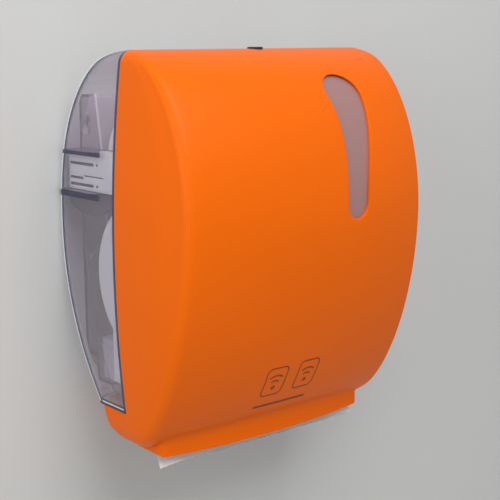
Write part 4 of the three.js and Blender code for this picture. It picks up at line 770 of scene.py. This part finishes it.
tree, size = new_tree("pan_head_screws", {
    "Head radius": 0.0042, "Head height": 0.0024, "Shank radius": 0.002, "Shank length": 0.0033,
    "Upper spread": 0.001 * keyhole_x, "Lower spread": 0.001 * slot_middle, "Upper height": 0.001 * neck_top,
    "Lower height": 0.001 * slot_height, "Seat depth": 0.0033})
head_radius, head_height, shank = size["Head radius"], size["Head height"], size["Shank length"]
flank = add(tree, "GeometryNodeMeshCylinder", {"Vertices": 32},
            {"Radius": head_radius, "Depth": head_height * 0.5})
dome = add(tree, "GeometryNodeMeshCone", {"Vertices": 32},
           {"Radius Bottom": head_radius, "Radius Top": head_radius * 0.7, "Depth": head_height * 0.5})
stem = add(tree, "GeometryNodeMeshCylinder", {"Vertices": 20},
           {"Radius": size["Shank radius"], "Depth": shank + 0.0006})
pieces = [lifted(tree, flank, head_height * 0.25), lifted(tree, dome, head_height * 0.5),
          lifted(tree, stem, shank * -0.4)]
whole_screw = add(tree, "GeometryNodeMeshBoolean", {}, {"Mesh 2": pieces}, operation="UNION", solver="EXACT")
bar_size = add(tree, "ShaderNodeCombineXYZ", {"Z": 0.0024}, {"X": head_radius, "Y": head_radius * 0.24})
bar = lifted(tree, add(tree, "GeometryNodeMeshCube", {}, {"Size": bar_size}), head_height + 0.0002)
bar_turned = add(tree, "GeometryNodeTransform", {"Rotation": (0, 0, math.pi / 2)},
                 {"Geometry": bar})
recess = add(tree, "GeometryNodeMeshBoolean", {}, {"Mesh 1": whole_screw, "Mesh 2": [bar, bar_turned]},
             operation="DIFFERENCE", solver="EXACT")
index = Flow(tree, add(tree, "GeometryNodeInputIndex"))
side = index.step("MODULO", 2) * 2 - 1
is_lower, is_upper = index.step("GREATER_THAN", 1.5), index.step("LESS_THAN", 1.5)
spot = add(tree, "ShaderNodeCombineXYZ", {}, {
    "X": side * (size["Upper spread"] * is_upper + size["Lower spread"] * is_lower),
    "Y": size["Seat depth"] * -1, "Z": size["Upper height"] * is_upper + size["Lower height"] * is_lower})
points = add(tree, "GeometryNodePoints", {"Count": 4}, {"Position": spot})
close_tree(tree, size, add(tree, "GeometryNodeInstanceOnPoints", {"Rotation": (math.pi / 2, 0, 0)},
                           {"Points": points, "Instance": recess}))
screws = smoothed(grown("wall_screws_pan_head", tree, {"Finish": steel}), 35)
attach(screws, "chassis")
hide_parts("wall_screw_1", "wall_screw_2", "wall_screw_3", "wall_screw_4")

# --- Roll arms and hubs ---
# White ABS arms stand between the tray's shelves, ribbed on the outside, and bend in to the hubs.
# They flex outward to let the roll's core off the hubs.
white = moulded("ABS, satin, white", "#d9dfe0", 0.4, 1.0, 0.06)
nylon = moulded("nylon, moulded, natural", "#e9e5d8", 0.45, 0.9, 0.04)
# The deep narrow slots of the arms are in their own shade and look slate.
slot_shade = moulded("ABS, satin, white, slots in shade", "#4b5468", 0.5, 1.0, 0.04)


arm_slots = ((4, 2.7, 12, 55, 6.4), (4.3, 2.3, 60.5, 64, 6.4), (11, 2.2, 12, 36, 6.4),
             (14, 1, 38, 73, 2), (25.2, 2.7, 12, 56, 6.4), (25.6, 2.3, 60.5, 64, 6.4))


def roll_arm():
    """One right-hand arm with its ribs, slots, bend and rounded end."""
    inner, thick, front, bend, bend_run, root = 138.2, 3.2, 127, 85, 13, 9
    nose = inner + thick
    plan = [(arm_outer, root), (arm_outer, bend - 6)]
    plan += [(arm_outer - 0.2, bend), (arm_outer - 1.6, bend + thick), (nose + 0.5, bend + bend_run - 1),
             (nose, bend + bend_run + 1), (nose, front), (inner, front), (inner, bend + bend_run - 1.6),
             (arm_outer - 7.2, bend - thick), (arm_outer - 7.2, root)]
    z0 = roll_height - arm_height / 2
    arm = top_plate(plan, z0, z0 + arm_height)
    radius = arm_height / 2
    centre = front - radius
    arc = round_points(centre, roll_height, radius, -90, 90, 40)
    beyond = [(front + 6, z0 + arm_height + 6), (front + 6, z0 - 6)]
    cut = side_plate([(centre, z0 - 6)] + arc + [(centre, z0 + arm_height + 6)] + beyond, 0, far)
    step = block(0, far, -overrun, pocket_front + 0.8, root_top, high)
    slots = []
    for rise, tall, start, end, deep in arm_slots:
        slots.append(block(arm_outer - deep, far, start, end, z0 + rise, z0 + rise + tall))
    pivot = side_plate(circle(roll_depth, roll_height, 4.35, 32), 0, far)
    shaped(arm, "DIFFERENCE", cut, step, *slots, pivot)
    edge = arm.modifiers.new("edge", "BEVEL")
    edge.width, edge.segments, edge.limit_method, edge.angle_limit = 0.0006, 2, "ANGLE", math.radians(40)
    bake(arm)
    return arm


arm_right, arm_left = mirrored(roll_arm())
for arm, side_name in ((arm_right, "right"), (arm_left, "left")):
    smoothed(named(arm, "roll_arm_moulded_" + side_name), 35)
    coated(arm, white, slot_shade)
    for face in arm.data.polygons:
        x, d, rise = (abs(face.center.x) * 1000, -face.center.y * 1000,
                      face.center.z * 1000 - roll_height + arm_height / 2)
        within = [slot for slot in arm_slots if slot[2] - 0.1 < d < slot[3] + 0.1
                  and slot[0] - 0.1 < rise < slot[0] + slot[1] + 0.1]
        face.material_index = 1 if within and x < arm_outer - 0.05 else 0
    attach(arm, "arm_" + side_name)
    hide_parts("roll_arm_" + side_name)
dressed(nylon, "roll_hub_left", "roll_hub_right")

# --- Towel roll and core ---
# Two-ply white tissue wound on a spiral card core; the wound edges show as fine rings.
# The rings are drawn two millimetres apart, far coarser than the paper.
roll_radius, roll_half = 70, 131
tree, size = new_tree("wound_sleeve", {
    "Inner radius": 0.0213, "Outer radius": 0.001 * roll_radius, "Half width": 0.001 * roll_half,
    "Around": 96, "Along": 49,
    "End rings": 24.0, "End step": 0.0005, "Ribs": 0.0, "Rib depth": 0.0,
    "Axis depth": 0.001 * roll_depth, "Axis height": 0.001 * roll_height})
grid = add(tree, "GeometryNodeMeshGrid", {"Size X": 1, "Size Y": 1},
           {"Vertices X": size["Around"] + 1, "Vertices Y": size["Along"] * 4 + 1})
where = add(tree, "ShaderNodeSeparateXYZ", {}, {0: add(tree, "GeometryNodeInputPosition")})
angle = (Flow(tree, where.outputs["X"]) + 0.5) * (2 * math.pi)
# Four laps go round the section: the first end face, the outside, the second end face and the bore.
lap = (Flow(tree, where.outputs["Y"]) + 0.5) * 4
rise = lap.step("ADD", 0, clamp=True) - lap.step("SUBTRACT", 2, clamp=True)
cross = lap.step("SUBTRACT", 1, clamp=True) - lap.step("SUBTRACT", 3, clamp=True)
on_second = lap.step("GREATER_THAN", 1) * lap.step("LESS_THAN", 2)
on_third = lap.step("GREATER_THAN", 2) * lap.step("LESS_THAN", 3)
end_step = (rise * size["End rings"]).step("PINGPONG", 0.5) * 2 * size["End step"]
x_at = (cross * 2 - 1) * size["Half width"] + end_step * (lap.step("LESS_THAN", 1) - on_third)
rib = (cross * size["Ribs"]).step("PINGPONG", 0.5).step("GREATER_THAN", 0.28) * size["Rib depth"] * on_second
radius_at = size["Inner radius"] + (size["Outer radius"] - size["Inner radius"]) * rise - rib
place = add(tree, "ShaderNodeCombineXYZ", {}, {
    "X": x_at, "Y": radius_at * angle.step("COSINE") - size["Axis depth"],
    "Z": radius_at * angle.step("SINE") + size["Axis height"]})
bent = add(tree, "GeometryNodeSetPosition", {}, {"Geometry": grid, "Position": place})
close_tree(tree, size, add(tree, "GeometryNodeMergeByDistance", {"Distance": 0.000002},
                           {"Geometry": bent}))
sleeve_tree = tree


# Tissue and card: matt, fibrous, with a soft emboss in the tissue. Fibres are drawn at half a millimetre.
def pulp(name, colour, emboss, depth):
    finish, tree, place = new_finish(name)
    fibre = add(tree, "ShaderNodeTexNoise", {"Scale": 1800, "Detail": 4, "Roughness": 0.7}, {"Vector": place})
    dots = add(tree, "ShaderNodeTexVoronoi", {"Scale": 1000 / emboss}, {"Vector": place})
    both = add(tree, "ShaderNodeMath", {1: 0.35}, {0: fibre, 2: dots}, operation="MULTIPLY_ADD")
    return surfaced(finish, skin(
        tree, {"Roughness": 0.92, "IOR": 1.47, "Sheen Weight": 0.1},
        (fibre, linear(colour), linear(colour, 0.9)), relief=(both, depth, 0.0006)))


tissue = pulp("tissue paper, embossed, white", "#f2f0ee", 3.0, 0.25)
card = pulp("card, spiral wound, brown", "#a88a62", 6.0, 0.1)


def faced_out(piece):
    """Turns every face of a closed mesh outward."""
    work = bmesh.new()
    work.from_mesh(piece.data)
    bmesh.ops.recalc_face_normals(work, faces=work.faces)
    work.to_mesh(piece.data)
    work.free()
    return piece


towel_roll = smoothed(faced_out(grown("towel_roll_wound", sleeve_tree, {"Finish": tissue})), 25)
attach(towel_roll, "roll")
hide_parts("towel_roll")
dressed(card, "roll_core")

# --- Drive frames, cover and gears ---
# Two white ABS frames carry the rollers; a round-backed tub closes the gear train on the left.
# A gear motor drives spur gears of natural nylon that turn the rubber roller.
arc_depth, arc_height, frame_top, leg_rear = 130.5, -29.8, 37.5, 76.225
tub_radius, tub_bottom, tub_front, tub_wall = 78, -140, 150.825, 1.8


def tub_outline(inset):
    round_back = tub_radius - inset
    rise = math.degrees(math.asin((frame_top - inset - arc_height) / round_back))
    leg = leg_rear + inset
    leg_end = math.degrees(math.acos((arc_depth - leg) / round_back))
    arc = round_points(arc_depth, arc_height, round_back, 180 - rise, 180 + leg_end, 60)
    return [(tub_front - inset, frame_top - inset)] + arc + [(leg, tub_bottom + inset),
                                                             (tub_front - inset, tub_bottom + inset)]


tub = solid("tub", [[(x, d, z) for d, z in tub_outline(inset)] for x, inset in (
    (-140.6, 0), (-148.4, 0), (-149.8, 0.3), (-151, 0.95), (-151.7, 1.9), (-152, 3.2))])
tub_hollow = solid("hollow", [[(x, d, z) for d, z in tub_outline(inset)] for x, inset in (
    (0, tub_wall), (-148, tub_wall), (-149.6, 2.6), (-150.2, 4.2))])
clip_slot = block(-far, -151.1, 78.5, 85.5, -1, 17)
clip_tongue = block(-152, -150.5, 79.4, 84.6, -0.1, 16.1)
shaped(tub, "DIFFERENCE", tub_hollow, clip_slot)
shaped(tub, "UNION", clip_tongue)
drive_cover = smoothed(named(tub, "drive_cover_tub"), 30)
coated(drive_cover, white)
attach(drive_cover, "chassis")
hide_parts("drive_cover")
dressed(white, "side_frame_left", "side_frame_right", "bridge_plate")
dressed(nylon, "motor_pinion", "reduction_gear", "idler_gear", "roller_gear", "drive_bush_left",
        "drive_bush_right", "pinch_bush_left", "pinch_bush_right")
dressed(steel, "gear_motor", "reduction_axle", "idler_axle")

# --- Drive and pinch rollers ---
# A ribbed rubber sleeve on a steel shaft pulls the towel; leaf springs press a grey roller against it.
# Both run in nylon bushes in the frames.
roller_depth, roller_height, roller_radius = 98, -116.5, 15
grey = moulded("ABS, satin, grey", "#8b8e91", 0.45, 1.0, 0.06)


# Nitrile rubber, ground: nearly black, dull, with a fine ground nap.
rubber, tree, place = new_finish("nitrile rubber, ground")
nap = add(tree, "ShaderNodeTexNoise", {"Scale": 1400, "Detail": 3}, {"Vector": place})
surfaced(rubber, skin(tree, {"Roughness": 0.85, "IOR": 1.52}, (nap, linear("#222224"), linear("#39393b")),
                      relief=(nap, 0.25, 0.0003)))

drive_roller = smoothed(faced_out(grown("drive_roller_ribbed", sleeve_tree, {
    "Inner radius": 0.0043, "Outer radius": 0.001 * roller_radius, "Half width": 0.126, "Around": 48,
    "Along": 120, "End rings": 0.0, "End step": 0.0, "Ribs": 30.0, "Rib depth": 0.0012,
    "Axis depth": 0.001 * roller_depth, "Axis height": 0.001 * roller_height, "Finish": rubber})), 30)
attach(drive_roller, "drive")
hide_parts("drive_roller")
dressed(steel, "drive_shaft", "pinch_spring_left", "pinch_spring_right")
dressed(grey, "pinch_roller")

# --- Outlet: chute, tear blade and sensor ---
# A white chute guides the towel down behind the lip; a serrated stainless blade tears it off.
# The hand sensor looks down through a dark round lens in the chute's flange.
blade_steel = plated("stainless steel, rolled", "#d4d6d8", 0.26, 3000)
tree, size = new_tree("serrated_blade", {
    "Half width": 0.131, "Teeth": 44, "Top": -0.172, "Root": -0.1925, "Tooth depth": 0.003, "Depth": 0.1162,
    "Thickness": 0.0009})
grid = add(tree, "GeometryNodeMeshGrid", {"Size Y": 1, "Vertices Y": 2},
           {"Size X": size["Half width"] * 2, "Vertices X": size["Teeth"] * 2 + 1})
where = add(tree, "ShaderNodeSeparateXYZ", {}, {0: add(tree, "GeometryNodeInputPosition")})
column = Flow(tree, add(tree, "GeometryNodeInputIndex")).step("DIVIDE", 2).step("FLOOR")
upper = Flow(tree, where.outputs["Y"])
edge_height = size["Root"] - size["Tooth depth"] * column.step("MODULO", 2)
place = add(tree, "ShaderNodeCombineXYZ", {}, {
    "X": where.outputs["X"], "Y": size["Depth"] * -1,
    "Z": size["Top"] * upper.step("GREATER_THAN", 0) + edge_height * upper.step("LESS_THAN", 0)})
flat = add(tree, "GeometryNodeSetPosition", {}, {"Geometry": grid, "Position": place})
through = add(tree, "ShaderNodeCombineXYZ", {}, {"Y": size["Thickness"] * -1})
thick = add(tree, "GeometryNodeExtrudeMesh", {"Offset Scale": 1, "Individual": False},
            {"Mesh": flat, "Offset": through}, mode="FACES")
both = add(tree, "GeometryNodeJoinGeometry", {}, {0: [thick, flat]})
close_tree(tree, size, add(tree, "GeometryNodeMergeByDistance", {"Distance": 0.000002},
                           {"Geometry": both}))
tear_blade = faced_out(grown("tear_blade_serrated", tree, {"Finish": blade_steel}))
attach(tear_blade, "chassis")
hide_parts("tear_blade")
dressed(white, "outlet_chute", "blade_carrier")

# Infrared-passing polycarbonate, polished: nearly black, with a dark red depth.
lens, tree, place = new_finish("infrared polycarbonate, polished")
depth_tone = add(tree, "ShaderNodeTexNoise", {"Scale": 60}, {"Vector": place})
surfaced(lens, skin(tree, {"Roughness": 0.08, "IOR": 1.58},
                    (depth_tone, linear("#140a0c"), linear("#22090d"))))
dressed(lens, "sensor_window")

# --- Towel web ---
# The free run of the towel: off the roll, round the drive roller and down past the blade.
# A short torn tail hangs below the lip, a little wavy, as limp tissue does.
web_half, web_thickness, web_gap = roll_half, 0.5, 0.3
web_depth = roller_depth + roller_radius + web_gap + web_thickness / 2
nip_height, bend_height, tail_end, tail_depth = -109, -197, -221.3, 122.4


def web_line():
    """The towel's middle line, as (depth, height) from the roll to the tail."""
    outer = roll_radius + web_gap + web_thickness / 2
    dd, dz = web_depth - roll_depth, nip_height - roll_height
    aim = math.atan2(dz, dd) + math.acos(outer / math.hypot(dd, dz))
    tangent = (roll_depth + outer * math.cos(aim), roll_height + outer * math.sin(aim))
    corners = [tangent, (web_depth, nip_height), (web_depth, bend_height), (tail_depth, tail_end)]
    line = []
    for (d0, z0), (d1, z1), steps in zip(corners, corners[1:], (14, 10, 10)):
        line += [(d0 + (d1 - d0) * i / steps, z0 + (z1 - z0) * i / steps) for i in range(steps)]
    return line + [corners[-1]]


line = web_line()
sheet_rows = []
for d, z in line:
    loose = max(0, (bend_height + 12 - z) / (bend_height + 12 - tail_end))
    row = []
    for i in range(121):
        x = -web_half + 2 * web_half * i / 120
        wave = 0.35 * math.sin(x / 11) + 0.25 * math.sin(x / 4.3 + 1)
        torn = 0.4 * math.sin(x * 1.9) + 1.1 * max(0, (-108 - x) / 23) ** 0.5
        row.append((x, d + wave * loose ** 2, z - torn * loose ** 3))
    sheet_rows.append(row)
rings = []
for row in sheet_rows:
    near = [(x, d + web_thickness / 2, z) for x, d, z in row]
    rings.append(near + [(x, d - web_thickness / 2, z) for x, d, z in reversed(row)])
web = smoothed(solid("towel_web_hanging", rings), 40)
coated(web, tissue)
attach(web, "chassis")
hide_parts("towel_web")

# --- Battery box, cells and circuit board ---
# A white tub low in the tray holds four large cells in a row under a hinged door.
# The board with the motor's driver stands on the bridge plate.
dressed(white, "battery_box", "battery_door")
dressed(steel, "contact_left", "contact_right")

# Printed sleeve over a steel can: a plain blue band, a pale end band and a satin shrink film.
cell_pitch = 0.0633
sleeve, tree, place = new_finish("shrink film, printed blue")
apart = add(tree, "ShaderNodeSeparateXYZ", {}, {0: place})
turns = add(tree, "ShaderNodeMath", {1: 1 / cell_pitch, 2: 2.0}, {0: apart.outputs["X"]},
            operation="MULTIPLY_ADD")
part = add(tree, "ShaderNodeMath", {}, {0: turns}, operation="FRACT")
band = add(tree, "ShaderNodeMath", {1: 0.72}, {0: part}, operation="GREATER_THAN")
film = add(tree, "ShaderNodeTexNoise", {"Scale": 300}, {"Vector": place})
surfaced(sleeve, skin(tree, {"IOR": 1.5}, (band, linear("#2c4877"), linear("#b9bec6")),
                      (film, 0.3, 0.42)))
dressed(sleeve, "battery_cell_1", "battery_cell_2", "battery_cell_3", "battery_cell_4")

# Glass-epoxy board under green solder mask: glossy green with faint copper runs, drawn 2 mm apart.
board, tree, place = new_finish("glass epoxy, green solder mask")
spun = add(tree, "ShaderNodeMapping", {"Rotation": (math.pi / 2, 0, 0)}, {"Vector": place})
runs = add(tree, "ShaderNodeTexBrick", {"Color1": linear("#1d5c38"), "Color2": linear("#1a5233"),
                                        "Mortar": linear("#2f7a4b"), "Scale": 100, "Mortar Size": 0.02},
           {"Vector": spun})
surfaced(board, add(tree, "ShaderNodeBsdfPrincipled", {"Roughness": 0.35, "IOR": 1.55},
                    {"Base Color": runs.outputs["Color"]}))
dressed(board, "circuit_board")

# --- Control box ---
# A grey ABS box on the right frame with a black feed button and a black rocker switch.
# It is reached only with the cover open.
dressed(grey, "control_box")
dressed(black, "feed_button", "power_switch")

# --- Wall, floor and light ---
# A plain pale wall behind the dispenser, which can't be seen from behind, and a pale floor below.
# A large soft lamp above the viewer, a weaker one from the left, and an even room light.


def pale_paint(name, colour, one_sided):
    finish, tree, place = new_finish(name)
    brushed = add(tree, "ShaderNodeTexNoise", {"Scale": 20, "Detail": 2}, {"Vector": place})
    final = skin(tree, {"Roughness": 0.7}, (brushed, linear(colour), linear(colour, 0.98)))
    if one_sided:
        side_seen = add(tree, "ShaderNodeNewGeometry")
        empty = add(tree, "ShaderNodeBsdfTransparent")
        final = add(tree, "ShaderNodeMixShader", {}, {0: side_seen.outputs["Backfacing"], 1: final, 2: empty})
    return surfaced(finish, final)


def sheet_piece(name, corners, finish):
    mesh = bpy.data.meshes.new(name)
    mesh.from_pydata(corners, [], [(0, 1, 2, 3)])
    mesh.materials.append(finish)
    return placed(name, mesh)


behind, low, reach = 0.0005, -1.35, 6
room_wall = sheet_piece("room_wall", [(-4, behind, low), (4, behind, low), (4, behind, 4), (-4, behind, 4)],
                        pale_paint("wall paint, pale", "#d3d3d1", True))
room_wall.visible_shadow = False
room_floor = sheet_piece(
    "room_floor", [(-reach, -reach, low), (reach, -reach, low), (reach, reach, low), (-reach, reach, low)],
    pale_paint("floor paint, pale", "#e2e1de", False))


for name, place, width, power in (("key", (-0.3, -1.5, 1.7), 1.6, 34), ("fill", (-2.2, -0.8, 0.6), 1.4, 15)):
    lamp = bpy.data.lights.new(name, "AREA")
    lamp.shape, lamp.size, lamp.energy = "SQUARE", width, power
    holder = placed(name, lamp)
    holder.location = place
    holder.rotation_euler = (Vector((0, -0.1, 0)) - holder.location).to_track_quat("-Z", "Y").to_euler()
world = bpy.data.worlds.new("room")
world.use_nodes = True
world.node_tree.nodes["Background"].inputs["Color"].default_value = (0.96, 0.98, 1, 1)
world.node_tree.nodes["Background"].inputs["Strength"].default_value = 0.42
bpy.context.scene.world = world
bpy.context.scene.view_settings.view_transform = "Standard"
